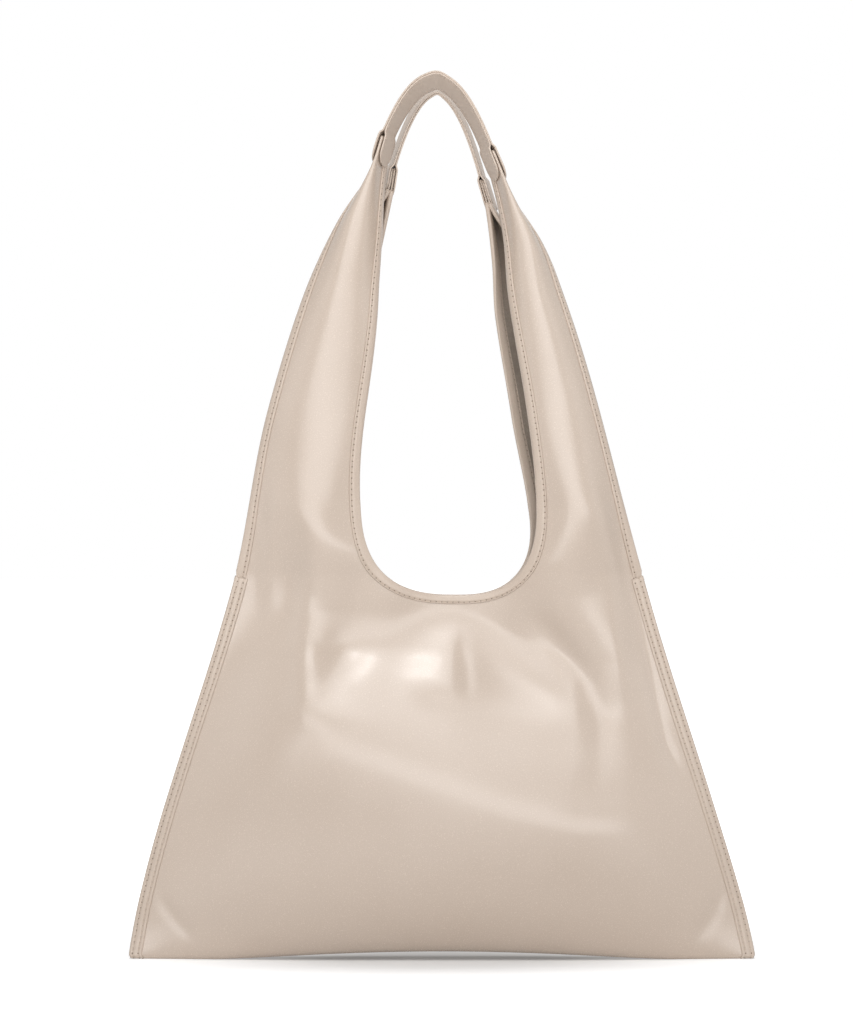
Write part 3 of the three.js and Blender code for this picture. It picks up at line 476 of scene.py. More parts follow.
class PanelShape:
    """One side of the bag: its outlines, the middle of its leather and its strap."""

    def __init__(self, sizes, sewing, side):
        self.sizes = sizes
        self.side = side
        self.name = side["name"]
        self.facing = side["facing"]
        self.body = sizes.body_height
        self.widest = self.body + MOUTH_RISE
        self.shoulder = self.widest + SHOULDER_RISE
        self.neck = self.widest + NECK_RISE
        self.tip = self.widest + HORN_RISE
        self.tab = self.tip - TAB_LENGTH
        self.top = self.tip + side["rise"]
        self.pinch = self.body - PINCH_HEIGHT
        self.face = sizes.panel_thickness / 2
        half_base = sizes.base_width / 2 - sewing.edge_cover
        tab_middle = float(self.leg_middle(self.tab))
        self.side_line = curve_through(
            (
                (0.0, half_base),
                (HIP_HEIGHT, sizes.hip_width / 2),
                (SLIT_HEIGHT, sizes.slit_width / 2),
                (self.shoulder, sizes.shoulder_width / 2),
                (self.neck, sizes.neck_width / 2),
                (self.widest + NAPE_RISE, sizes.nape_width / 2),
                (self.tab, tab_middle + TAB_FOLD / 2),
                (self.tip, side["span"] / 2 + TIP_FOLD / 2),
            )
        )
        self.upper_mouth = curve_through(
            (
                (self.widest, sizes.mouth_width / 2),
                (self.neck, sizes.mouth_neck_width / 2),
                (self.tab, tab_middle - TAB_FOLD / 2),
                (self.tip, side["span"] / 2 - TIP_FOLD / 2),
            ),
            start_slope=0.0,
        )
        self.swelling = curve_through(
            (
                (0.0, 0.0),
                (sizes.belly_height, BELLY_RIDGE),
                (self.pinch, CHEST_RIDGE),
                (SLIT_HEIGHT, MOUTH_RIDGE),
                (self.shoulder, CURL_DEPTH),
                (self.tip, TIP_CURL),
            )
        )
        swell = sizes.belly_depth - MOUTH_DEPTH
        rise = self.pinch - sizes.belly_height
        self.slope_depth = curve_through(
            [(sizes.belly_height + rise * share, MOUTH_DEPTH + swell * left) for share, left in BELLY_SLOPE],
            start_slope=0.0,
        )
        self.lean = curve_through(
            (
                (0.0, 0.0),
                (sizes.belly_height, -BELLY_LEAN),
                (self.body, -BELLY_LEAN),
                (self.shoulder, -NECK_LEAN),
                (self.neck, -NECK_LEAN),
                (self.widest + NAPE_RISE, -NAPE_LEAN),
                (self.tab, -BELLY_LEAN),
                (self.tip, -TIP_LEAN),
            )
        )
        pulled = (sizes.belly_height, self.body, self.widest, self.shoulder, self.neck, self.tab)
        self.pull = curve_through(tuple(zip(pulled, (0.0, *side["mouth"], 0.0))))
        self.left_crest = curve_through(side["left_crest"])
        self.right_crest = curve_through(side["right_crest"])
        self.rim_depth = curve_through(
            ((self.body, MOUTH_DEPTH), (self.widest, RIM_DEPTH), (self.tip, TIP_DEPTH))
        )
        self.edge_depth = curve_through(
            (
                (0.0, CORNER_DEPTH),
                (CORNER_HEIGHT, SEAM_DEPTH),
                (SLIT_HEIGHT, SEAM_DEPTH),
                (FOLD_HEIGHT, SLIT_DEPTH),
                (self.shoulder, SLIT_OPENING),
                (self.tip, TIP_DEPTH),
            )
        )

    def leg_middle(self, height):
        """Half distance between the strap's two legs."""
        rest = np.clip((self.top - height) / self.side["rise"], 0.0, None)
        return self.side["span"] / 2 * np.sqrt(rest)

    def leg_lean(self, height):
        """A strap leg's slope from upright."""
        reach = self.leg_middle(np.minimum(height, self.tip))
        return np.arctan(self.side["span"] ** 2 / (8 * self.side["rise"] * reach))

    def outline(self, height):
        """Half width of the leather, with its bottom corner rounded."""
        near = np.clip(1 - np.asarray(height) / CORNER_ROUND, 0.0, 1.0)
        return self.side_line(height) - CORNER_ROUND / 2 * (1 - np.sqrt(1 - near * near))

    def mouth(self, height):
        """Half width of the mouth."""
        below = np.clip((self.widest - height) / MOUTH_RISE, 0.0, 1.0)
        rounded = (1 - below**MOUTH_ROUNDNESS) ** (1 / MOUTH_ROUNDNESS)
        lower = self.sizes.mouth_width / 2 * rounded
        return np.where(height >= self.widest, self.upper_mouth(height), lower)

    def hollow(self, height):
        """Half width of the flat stretch in the middle, which grows into the mouth."""
        lower = self.sizes.mouth_width / 2 * smooth_step(height, self.pinch, self.widest)
        return np.where(height >= self.widest, self.upper_mouth(height), lower)

    def across(self, x, height):
        """Share of the way from the mouth's edge to the side's edge."""
        inner = self.hollow(height)
        return np.clip((np.abs(x) - inner) / (self.side_line(height) - inner), 0.0, 1.0)

    def sagged(self, x, height):
        """Height at which the belly's profile is read, as the belly hangs lower on one hand."""
        belly = self.sizes.belly_height
        reach = np.clip(x, -SAG_REACH, SAG_REACH)
        lower = self.side["sag"] * reach * smooth_step(height, SAG_START * belly, belly)
        hanging = 1 - smooth_step(lower, -SAG_TURN, SAG_TURN)
        closing = smooth_step(height, SAG_CLOSE * belly, self.pinch) * hanging
        return height + lower * (1 - closing)

    def middle_depth(self, height):
        """Half depth down the middle: a rounded belly that closes towards the snap."""
        belly = self.sizes.belly_height
        below = np.clip(1 - height / belly, 0.0, 1.0)
        low = BASE_DEPTH + (self.sizes.belly_depth - BASE_DEPTH) * np.sqrt(1 - below * below)
        return np.where(height <= belly, low, self.slope_depth(height))

    def depth(self, x, height):
        """Half depth of the leather's middle, with its folds."""
        share = self.across(x, height)
        belly = self.middle_depth(self.sagged(x, height))
        middle = np.where(height > self.body, self.rim_depth(height), belly)
        edge = self.edge_depth(height)
        roundness = mix(BELLY_ROUNDNESS, 1.0, smooth_step(height, self.sizes.belly_height, self.body))
        body = edge + (middle - edge) * (1 - share**roundness)
        crest = np.where(x < 0, self.left_crest(height), self.right_crest(height))
        soft = np.sin(math.pi * share ** (math.log(0.5) / np.log(crest))) ** 2
        curl = mix(SHOULDER_ROUNDNESS, TIP_ROUNDNESS, smooth_step(height, self.neck, self.tip))
        curled = 1 - np.abs(2 * share - 1) ** curl
        form = mix(soft, curled, smooth_step(height, self.body, self.shoulder))
        return body + self.swelling(height) * form + self.folds(x, height)

    def folds(self, x, height):
        """How far the soft folds stand out, fading towards the sewn edges."""
        total = np.zeros(np.shape(x))
        for path, stand, width in self.side["folds"]:
            gap, share = path_places(x, height, path)
            taper = smooth_step(share, 0.0, FOLD_TAPER) * (1 - smooth_step(share, 1 - FOLD_TAPER, 1.0))
            total = total + stand * taper * np.exp(-((gap / width) ** 2))
        return total * smooth_step(self.outline(height) - np.abs(x), *FOLD_FADE)

    def sunk(self, x, z):
        """How far a horn or a strap has sunk."""
        tilted = TILT * x * smooth_step(z, self.neck, self.tab)
        return tilted + self.side["drop"] * smooth_step(z, self.widest, self.tab)

    def surface(self, x, height):
        """Points on the middle of the leather."""
        x, height = np.broadcast_arrays(np.asarray(x, float), np.asarray(height, float))
        depth = self.depth(x, height)
        lift = self.face + base_arch(x)
        z = height + lift * (1 - np.clip(height / self.sizes.belly_height, 0.0, 1.0)) ** 2
        flare = self.side["flare"] * smooth_step(z, self.neck, self.tab) / np.cos(self.leg_lean(z))
        turned = x + np.sign(x) * flare * (depth - STRAP_DEPTH) / self.sizes.strap_width
        aside = self.lean(z) + self.pull(z) * (1 - self.across(x, z))
        return np.stack((turned + aside, self.facing * depth, z - self.sunk(turned, z)), axis=-1)

    def outward(self, x, height):
        """Directions out of the leather."""
        reach = 0.0004
        run = self.surface(x + reach, height) - self.surface(x - reach, height)
        rise = self.surface(x, height + reach) - self.surface(x, height - reach)
        return unit(np.cross(run, rise) * -self.facing)

    def inside(self, edge, inward, marks):
        """Places at marked distances from edge places, measured along the leather."""
        reach = np.linspace(0.0, max(marks), INSIDE_STEPS)
        x = edge[:, :1] + inward[:, :1] * reach
        height = edge[:, 1:] + inward[:, 1:] * reach
        points = self.surface(x, height)
        gaps = np.linalg.norm(np.diff(points, axis=1), axis=2)
        lengths = np.concatenate((np.zeros((len(edge), 1)), np.cumsum(gaps, axis=1)), axis=1)
        far = np.array([np.interp(marks, row, reach) for row in lengths])
        return edge[:, :1] + inward[:, :1] * far, edge[:, 1:] + inward[:, 1:] * far

    def mouth_edge(self, start, horn_steps, turn_steps):
        """The mouth's edge from a height on the left horn, round the bottom, to the right horn."""
        heights = np.linspace(start, self.widest, horn_steps)
        turn = np.linspace(0.0, math.pi / 2, turn_steps)[1:]
        power = 2 / MOUTH_ROUNDNESS
        low_x = self.sizes.mouth_width / 2 * np.clip(np.cos(turn), 0.0, 1.0) ** power
        low_h = self.widest - MOUTH_RISE * np.sin(turn) ** power
        low_x[-1] = 0.0
        half_x = np.append(self.mouth(heights), low_x)
        return mirrored(np.stack((half_x, np.append(heights, low_h)), axis=1))

    def outer_edge(self, horn_steps, side_steps, base_steps):
        """The leather's outer edge from the left tip, down the side and along the base to the right tip."""
        horn = np.linspace(self.tip, self.widest, horn_steps)
        side = np.linspace(self.widest, 0.0, side_steps)[1:]
        heights = np.append(horn, side)
        base = np.linspace(float(self.outline(0.0)), 0.0, base_steps)[1:]
        half_x = np.append(self.outline(heights), base)
        half_h = np.append(heights, np.zeros(len(base)))
        return mirrored(np.stack((half_x, half_h), axis=1))


def inward_of(edge, centre):
    """Unit directions across an edge, away from a centre."""
    along = np.gradient(edge, axis=0)
    way = np.stack((along[:, 1], -along[:, 0]), axis=1)
    away = np.sum(way * (edge - np.asarray(centre)), axis=1, keepdims=True)
    return unit(np.where(away < 0, -way, way))


# Mesh helpers


def shapes_of(context):
    """The shapes of the front and the back."""
    scene = context.scene
    return [PanelShape(scene.bag_sizes, scene.bag_sewing, side) for side in SIDES]


def object_from(shaped, name, materials):
    """Turns a bmesh into an object with smooth faces."""
    for face in shaped.faces:
        face.smooth = True
    mesh = bpy.data.meshes.new(name)
    shaped.to_mesh(mesh)
    shaped.free()
    for material in materials:
        mesh.materials.append(material)
    piece = bpy.data.objects.new(name, mesh)
    bpy.context.scene.collection.objects.link(piece)
    return piece


def laid_grid(rows, uvs=None):
    """A bmesh grid whose points are moved onto rows of places."""
    count, width = rows.shape[:2]
    shaped = bmesh.new()
    bmesh.ops.create_grid(shaped, x_segments=count - 1, y_segments=width - 1, size=0.5)
    spots = {}
    for vert in shaped.verts:
        spot = (round((vert.co.x + 0.5) * (count - 1)), round((vert.co.y + 0.5) * (width - 1)))
        spots[vert] = spot
        vert.co = Vector(rows[spot])
    if uvs is not None:
        layer = shaped.loops.layers.uv.new("seam")
        for face in shaped.faces:
            for loop in face.loops:
                loop[layer].uv = uvs[spots[loop.vert]]
    return shaped, spots


def face_out(shaped, outward):
    """Turns every face round if a middle face points away from the wanted direction."""
    shaped.faces.ensure_lookup_table()
    shaped.normal_update()
    middle = shaped.faces[len(shaped.faces) // 2]
    if middle.normal.dot(outward(middle)) < 0:
        bmesh.ops.reverse_faces(shaped, faces=shaped.faces[:])


def thicken(piece, thickness, offset, inner_slot=0):
    """Gives a sheet its thickness."""
    wall = piece.modifiers.new("Thickness", "SOLIDIFY")
    wall.thickness = thickness
    wall.offset = offset
    wall.use_even_offset = False
    wall.material_offset = inner_slot


def soften(piece, width):
    """Rounds the cut edges of a piece."""
    rounding = piece.modifiers.new("Soft edges", "BEVEL")
    rounding.width = width
    rounding.segments = 2
    rounding.limit_method = "ANGLE"
    rounding.angle_limit = math.radians(50)


def finish_piece(piece, nodes, body=None, shape=None):
    """Hides the parts a piece stands for, and parents it to what it moves with or bakes its place into it."""
    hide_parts(*nodes)
    if shape is None:
        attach(piece, body)
        return
    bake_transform(piece)


# Bindings and stitching


def running_length(points):
    """Length along rows of points, from the first."""
    gaps = np.linalg.norm(np.diff(points, axis=0), axis=1)
    return np.append(0.0, np.cumsum(gaps))


def stitch_count(points, pitch):
    """Whole number of stitches on a row."""
    return max(1, round(running_length(points)[-1] / pitch))


def stitch_places(points, outs, pitch):
    """Middles, directions and outward directions of the stitches along a row."""
    lengths = running_length(points)
    count = stitch_count(points, pitch)
    step = lengths[-1] / count
    centres = (np.arange(count) + 0.5) * step

    def sampled(values, where):
        return np.stack([np.interp(where, lengths, values[:, axis]) for axis in range(3)], axis=1)

    ahead = step * STITCH_AHEAD
    along = sampled(points, centres + ahead) - sampled(points, centres - ahead)
    places = zip(sampled(points, centres), along, sampled(outs, centres))
    return [(Vector(m), Vector(a).normalized(), Vector(o).normalized()) for m, a, o in places], step


def sew(shaped, places, step, width):
    """Adds a spindle of thread for every stitch, with its ends dipping into the leather."""
    reach = step * STITCH_REACH
    ball = {"u_segments": STITCH_SEGMENTS, "v_segments": STITCH_SEGMENTS, "radius": 1.0, "calc_uvs": True}
    for middle, along, out in places:
        made = bmesh.ops.create_uvsphere(shaped, **ball)
        aside = out.cross(along).normalized()
        for vert in made["verts"]:
            full = math.sqrt(1 + vert.co.z**2)
            raised = STITCH_ROUND * vert.co.y * full + STITCH_RISE - STITCH_DIP * vert.co.z**2
            vert.co = (
                middle
                + aside * (vert.co.x * full * width / 2)
                + out * (raised * width / 2)
                + along * (vert.co.z * reach)
            )


def stitching(context, name, rows, nodes, body=None, shape=None):
    """One object with all stitches of some rows, sewn in short runs that are then joined."""
    sewing = context.scene.bag_sewing
    shaped = bmesh.new()
    for row in rows:
        places, step = stitch_places(*row, sewing.stitch_pitch)
        for first in range(0, len(places), STITCH_RUN):
            run = bmesh.new()
            run.loops.layers.uv.new("thread")
            sew(run, places[first : first + STITCH_RUN], step, sewing.thread_width)
            mesh = bpy.data.meshes.new("stitch_run")
            run.to_mesh(mesh)
            run.free()
            shaped.from_mesh(mesh)
            bpy.data.meshes.remove(mesh)
    piece = object_from(shaped, name, [made_once(context, "sewing_thread", thread_nodes)])
    finish_piece(piece, nodes, body, shape)


def binding_marks(width, rows):
    """Distances from the edge at which a binding's section has points."""
    even = np.linspace(0.0, width, BINDING_STEPS)
    close = [row + shift for row in rows for shift in ROW_SHIFTS]
    ends = [width - shift for shift in END_SHIFTS]
    marks = np.unique(np.round(np.concatenate((even, close, ends)), 5))
    return marks[(marks >= 0) & (marks <= width)]


def binding_swell(marks, width, rows):
    """How the face of a binding swells between its edges, with grooves at the stitching."""
    puff = PUFF_RISE * np.sin(math.pi * np.clip(marks / width, 0.0, 1.0)) ** PUFF_POWER
    pressed = sum(GROOVE_DEPTH * np.exp(-(((marks - row) / GROOVE_WIDTH) ** 2)) for row in rows)
    rolled = ROLL_DEPTH * np.exp(-(((width - marks) / ROLL_WIDTH) ** 2))
    return puff - pressed - rolled


def edge_strip(context, shape, edge, inward, width, row, full=1.0, narrow=1.0):
    """Sections of a binding folded over one edge, its UVs and its stitching on both faces."""
    sewing = context.scene.bag_sewing
    marks = binding_marks(width, [row])
    x, height = shape.inside(edge, inward, marks)
    narrow = np.broadcast_to(narrow, len(edge))[:, None]
    x, height = mix(edge[:, :1], x, narrow), mix(edge[:, 1:], height, narrow)
    at = shape.surface(x, height)
    out = shape.outward(x, height)
    full = np.broadcast_to(full, len(edge))[:, None]
    stand = shape.face + full * (sewing.binding_thickness + binding_swell(marks, width, [row]))
    front = at + out * stand[..., None]
    back = at - out * stand[..., None]
    beyond = unit(at[:, 0] - at[:, 1])
    turn = np.linspace(0.0, math.pi, EDGE_TURN_STEPS)[1:-1]
    fold = at[:, :1] + out[:, :1] * (np.cos(turn) * stand[:, :1])[..., None]
    fold = fold + beyond[:, None] * (np.sin(turn) * full * sewing.edge_cover)[..., None]
    sections = np.concatenate((front[:, ::-1], fold, back), axis=1)
    stitched = int(np.argmin(np.abs(marks - row)))
    rows = [(front[:, stitched], out[:, stitched]), (back[:, stitched], -out[:, stitched])]
    uvs = strip_uvs(rows[0][0], marks, turn, sewing.stitch_pitch)
    return sections, uvs, rows, out[:, -1]


def strip_uvs(row_points, marks, turn, pitch):
    """UVs in stitches: along the row and across from the edge, on both faces and round the fold."""
    marks = np.concatenate((marks[::-1], 0 * turn, marks))
    lengths = running_length(row_points)
    along = lengths / lengths[-1] * stitch_count(row_points, pitch)
    return np.stack(np.meshgrid(along, marks / pitch, indexing="ij"), axis=-1)


def strip_object(context, name, sections, uvs, outs, rows):
    """A folded strip with its thickness."""
    shaped, spots = laid_grid(sections, uvs)
    index = len(sections) // 2
    wanted = Vector(outs[index])
    shaped.normal_update()
    near = [face for face in shaped.faces if {spots[vert] for vert in face.verts} >= {(index, 0), (index, 1)}]
    if near[0].normal.dot(wanted) < 0:
        bmesh.ops.reverse_faces(shaped, faces=shaped.faces[:])
    piece = object_from(shaped, name, [binding_material(context, rows)])
    thicken(piece, context.scene.bag_sewing.binding_thickness, -1.0)
    return piece


def bound_edge(context, shape, edge, inward, size, label, nodes, threads, full=1.0, narrow=1.0):
    """A binding folded over one edge of the leather, with its stitching."""
    width, row = size
    sections, uvs, rows, outs = edge_strip(context, shape, edge, inward, width, row, full, narrow)
    piece = strip_object(context, label + "_edge", sections, uvs, outs, [row])
    finish_piece(piece, nodes, shape=shape)
    stitching(context, label + "_stitches", rows, threads, shape=shape)


# Materials


def node_group(name, inputs, outputs):
    """A new shader node group with named sockets."""
    group = bpy.data.node_groups.new(name, "ShaderNodeTree")
    for label, kind in inputs:
        group.interface.new_socket(name=label, in_out="INPUT", socket_type=kind)
    for label, kind in outputs:
        group.interface.new_socket(name=label, in_out="OUTPUT", socket_type=kind)
    start = group.nodes.new("NodeGroupInput")
    end = group.nodes.new("NodeGroupOutput")
    return group, start, end


def math_node(tree, operation, first, second=None, third=None):
    """A Math node fed by sockets or numbers."""
    node = tree.nodes.new("ShaderNodeMath")
    node.operation = operation
    for slot, value in enumerate((first, second, third)):
        if value is None:
            continue
        if isinstance(value, (int, float)):
            node.inputs[slot].default_value = value
        else:
            tree.links.new(value, node.inputs[slot])
    return node.outputs[0]


def vector_node(tree, operation, vector, *constants):
    """The outputs of a Vector Math node fed by a socket and constant vectors."""
    node = tree.nodes.new("ShaderNodeVectorMath")
    node.operation = operation
    tree.links.new(vector, node.inputs[0])
    for slot, value in enumerate(constants, 1):
        node.inputs[slot].default_value = value
    return node.outputs


def ranged(tree, value, low, high, to_low, to_high, smooth=True):
    """A value moved from one range to another."""
    node = tree.nodes.new("ShaderNodeMapRange")
    node.interpolation_type = "SMOOTHSTEP" if smooth else "LINEAR"
    tree.links.new(value, node.inputs["Value"])
    limits = {"From Min": low, "From Max": high, "To Min": to_low, "To Max": to_high}
    for label, limit in limits.items():
        node.inputs[label].default_value = limit
    return node.outputs["Result"]


def colour_mix(tree, factor, first, second):
    """A Mix node for colours, fed by sockets or colours."""
    node = tree.nodes.new("ShaderNodeMix")
    node.data_type = "RGBA"
    tree.links.new(factor, node.inputs[0])
    for slot, value in ((6, first), (7, second)):
        if isinstance(value, bpy.types.NodeSocket):
            tree.links.new(value, node.inputs[slot])
        else:
            node.inputs[slot].default_value = (*value, 1.0)
    return node.outputs[2]


def darker(shade, share):
    """A colour with a share of its light."""
    return tuple(share * part for part in shade)


def noise(tree, vector, scale, detail=2.0, rough=0.5):
    """The value of a noise texture."""
    node = tree.nodes.new("ShaderNodeTexNoise")
    node.inputs["Scale"].default_value = scale
    node.inputs["Detail"].default_value = detail
    node.inputs["Roughness"].default_value = rough
    tree.links.new(vector, node.inputs["Vector"])
    return node.outputs["Fac"]


def grain_group():
    """Fine leather grain: pebbles with soft creases between them, and a slow change of tone."""
    name = "leather_grain"
    if name in bpy.data.node_groups:
        return bpy.data.node_groups[name]
    inputs = (("Vector", "NodeSocketVector"),)
    outputs = (("Height", "NodeSocketFloat"), ("Tone", "NodeSocketFloat"), ("Speckle", "NodeSocketFloat"))
    group, start, end = node_group(name, inputs, outputs)
    vector = start.outputs["Vector"]
    pebbles = group.nodes.new("ShaderNodeTexVoronoi")
    pebbles.feature = "SMOOTH_F1"
    pebbles.inputs["Scale"].default_value = PEBBLE_SCALE
    group.links.new(vector, pebbles.inputs["Vector"])
    waves = noise(group, vector, scale=420.0, detail=3.0)
    height = math_node(group, "MULTIPLY_ADD", waves, 0.8, pebbles.outputs["Distance"])
    group.links.new(height, end.inputs["Height"])
    group.links.new(noise(group, vector, scale=9.0, detail=3.0), end.inputs["Tone"])
    group.links.new(noise(group, vector, scale=1600.0, detail=1.0), end.inputs["Speckle"])
    return group


def needle_group():
    """Needle holes and the groove of a stitching row, from UVs counted in stitches."""
    name = "needle_row"
    if name in bpy.data.node_groups:
        return bpy.data.node_groups[name]
    inputs = (("Vector", "NodeSocketVector"), ("Row", "NodeSocketFloat"))
    outputs = (("Holes", "NodeSocketFloat"), ("Groove", "NodeSocketFloat"))
    group, start, end = node_group(name, inputs, outputs)
    parts = group.nodes.new("ShaderNodeSeparateXYZ")
    group.links.new(start.outputs["Vector"], parts.inputs[0])
    along = math_node(group, "PINGPONG", parts.outputs["X"], 0.5)
    across = math_node(group, "SUBTRACT", parts.outputs["Y"], start.outputs["Row"])
    away = math_node(group, "ABSOLUTE", across)
    square = math_node(group, "MULTIPLY", along, along)
    gap = math_node(group, "SQRT", math_node(group, "MULTIPLY_ADD", away, away, square))
    group.links.new(ranged(group, gap, *HOLE_EDGE, 1.0, 0.0), end.inputs["Holes"])
    group.links.new(ranged(group, away, *GROOVE_EDGE, 1.0, 0.0), end.inputs["Groove"])
    return group


def new_material(name):
    """A node material with its shader."""
    material = bpy.data.materials.new(name)
    material.use_nodes = True
    tree = material.node_tree
    return material, tree, tree.nodes["Principled BSDF"]


def made_once(context, name, wire, *details):
    """A material by its name, wired by a function at its first use."""
    if name not in bpy.data.materials:
        _, tree, shader = new_material(name)
        wire(tree, shader, context.scene.bag_colours, *details)
    return bpy.data.materials[name]


def place_group(tree, group, vector):
    """A node group fed with coordinates."""
    node = tree.nodes.new("ShaderNodeGroup")
    node.node_tree = group
    tree.links.new(vector, node.inputs["Vector"])
    return node


def surface(tree, shader, shade, rough, height, strength, distance):
    """Feeds a colour, a roughness and a bump into a shader."""
    bump = tree.nodes.new("ShaderNodeBump")
    bump.inputs["Strength"].default_value = strength
    bump.inputs["Distance"].default_value = distance
    tree.links.new(height, bump.inputs["Height"])
    fed = {"Base Color": shade, "Roughness": rough, "Normal": bump.outputs["Normal"]}
    for label, value in fed.items():
        tree.links.new(value, shader.inputs[label])


def leather_material(context, name="bag_leather"):
    """Leather of the panels and patches, or the rougher leather of the straps."""
    finish = context.scene.bag_colours
    gloss = finish.strap_gloss if name == "strap_leather" else finish.gloss
    return made_once(context, name, leather_nodes, gloss)


def leather_nodes(tree, shader, finish, gloss):
    """Smooth semi-gloss leather with fine grain."""
    places = tree.nodes.new("ShaderNodeTexCoord").outputs["Object"]
    grain = place_group(tree, grain_group(), places)
    tone = ranged(tree, grain.outputs["Tone"], *NOISE_MIDDLE, 0.0, 1.0)
    shade = colour_mix(tree, tone, finish.leather, finish.shade)
    rough = ranged(tree, grain.outputs["Speckle"], *NOISE_SPREAD, gloss - 0.03, gloss + 0.05)
    surface(tree, shader, shade, rough, grain.outputs["Height"], strength=0.05, distance=0.0004)
    shader.inputs["Specular IOR Level"].default_value = 1.0


def binding_material(context, rows):
    """Leather of the bindings, with stitching rows at distances from the edge."""
    name = "binding_" + "_".join(str(round(row * 1e5)) for row in rows)
    pitch = context.scene.bag_sewing.stitch_pitch
    return made_once(context, name, binding_nodes, [row / pitch for row in rows])


def binding_nodes(tree, shader, finish, rows):
    """Leather with needle holes along its stitching rows, with painted shade in the holes and grooves."""
    coordinates = tree.nodes.new("ShaderNodeTexCoord")
    grain = place_group(tree, grain_group(), coordinates.outputs["Object"])
    tone = ranged(tree, grain.outputs["Tone"], *NOISE_MIDDLE, 0.0, 1.0)
    base = colour_mix(tree, tone, finish.binding, finish.leather)
    height = math_node(tree, "MULTIPLY", grain.outputs["Height"], 0.25)
    for row in rows:
        needle = place_group(tree, needle_group(), coordinates.outputs["UV"])
        needle.inputs["Row"].default_value = row
        # Painted shade: the colour darkens along each stitching groove, standing for the shade in it
        groove = math_node(tree, "MULTIPLY", needle.outputs["Groove"], 0.35)
        base = colour_mix(tree, groove, base, finish.shade)
        # Painted shade: the needle holes get the dark hole colour, standing for the shade inside them
        base = colour_mix(tree, needle.outputs["Holes"], base, finish.hole)
        height = math_node(tree, "SUBTRACT", height, needle.outputs["Holes"])
    rough = ranged(tree, grain.outputs["Speckle"], *NOISE_SPREAD, finish.gloss - 0.02, finish.gloss + 0.06)
    surface(tree, shader, base, rough, height, strength=0.35, distance=0.0004)


def backing_nodes(tree, shader, finish):
    """Brushed inside of the leather."""
    places = tree.nodes.new("ShaderNodeTexCoord").outputs["Object"]
    fibres = noise(tree, places, scale=700.0, detail=4.0, rough=0.65)
    patches = noise(tree, places, scale=22.0, detail=3.0)
    rubbed = ranged(tree, math_node(tree, "MULTIPLY", fibres, patches), 0.12, 0.4, 0.0, 1.0)
    shade = colour_mix(tree, rubbed, darker(finish.backing, 0.72), finish.backing)
    rough = ranged(tree, fibres, *NOISE_SPREAD, 0.82, 0.95)
    surface(tree, shader, shade, rough, fibres, strength=0.3, distance=0.0004)
    shader.inputs["Sheen Weight"].default_value = 0.15


def thread_nodes(tree, shader, finish):
    """Twisted sewing thread, with painted shade between its plies."""
    coordinates = tree.nodes.new("ShaderNodeTexCoord")
    parts = tree.nodes.new("ShaderNodeSeparateXYZ")
    tree.links.new(coordinates.outputs["UV"], parts.inputs[0])
    along = math_node(tree, "MULTIPLY_ADD", parts.outputs["Y"], 5.0, parts.outputs["X"])
    # Painted shade: the colour darkens in the grooves between the plies, which also drive the bump
    twist = math_node(tree, "PINGPONG", math_node(tree, "MULTIPLY", along, 2.0), 0.5)
    ply_relief_and_shade = math_node(tree, "MULTIPLY", twist, 2.0)
    fuzz = noise(tree, coordinates.outputs["Object"], scale=2500.0, detail=2.0)
    wear_and_ply_shade = math_node(tree, "MULTIPLY_ADD", ply_relief_and_shade, 0.7, math_node(tree, "MULTIPLY", fuzz, 0.3))
    shade = colour_mix(tree, wear_and_ply_shade, darker(finish.thread, 0.62), finish.thread)
    rough = ranged(tree, fuzz, *NOISE_SPREAD, 0.55, 0.75)
    surface(tree, shader, shade, rough, wear_and_ply_shade, strength=0.5, distance=0.0002)
    shader.inputs["Sheen Weight"].default_value = 0.2


def tape_nodes(tree, shader, finish):
    """Woven seam tape, warp along the bag and weft across it, with painted shade between the threads."""
    coordinates = tree.nodes.new("ShaderNodeTexCoord")
    parts = tree.nodes.new("ShaderNodeSeparateXYZ")
    tree.links.new(coordinates.outputs["Object"], parts.inputs[0])
    threads = [math_node(tree, "MULTIPLY", parts.outputs[axis], WEAVE_SCALE) for axis in ("Y", "X")]
    warp, weft = (math_node(tree, "PINGPONG", thread, 0.5) for thread in threads)
    # Painted shade: the colour darkens where the warp and weft threads part; soil noise is real dirt
    weave_relief_and_shade = math_node(tree, "MULTIPLY", math_node(tree, "MULTIPLY", warp, weft), 4.0)
    soil = noise(tree, coordinates.outputs["Object"], scale=60.0, detail=3.0)
    shown = math_node(tree, "MULTIPLY_ADD", weave_relief_and_shade, 0.7, math_node(tree, "MULTIPLY", soil, 0.3))
    shade = colour_mix(tree, shown, darker(finish.tape, 0.6), finish.tape)
    rough = ranged(tree, soil, *NOISE_SPREAD, 0.8, 0.95)
    surface(tree, shader, shade, rough, weave_relief_and_shade, strength=0.6, distance=0.0003)


def nickel_nodes(tree, shader, finish):
    """Satin nickel plate with fine turned lines."""
    places = tree.nodes.new("ShaderNodeTexCoord").outputs["Object"]
    lines = noise(tree, places, scale=900.0, detail=2.0)
    wear_and_ply_shade = noise(tree, places, scale=140.0, detail=3.0)
    shade = colour_mix(tree, wear_and_ply_shade, darker(finish.nickel, 0.82), finish.nickel)
    rough = ranged(tree, lines, *NOISE_MIDDLE, 0.24, 0.36)
    surface(tree, shader, shade, rough, lines, strength=0.08, distance=0.0002)
    shader.inputs["Metallic"].default_value = 1.0


# Operators


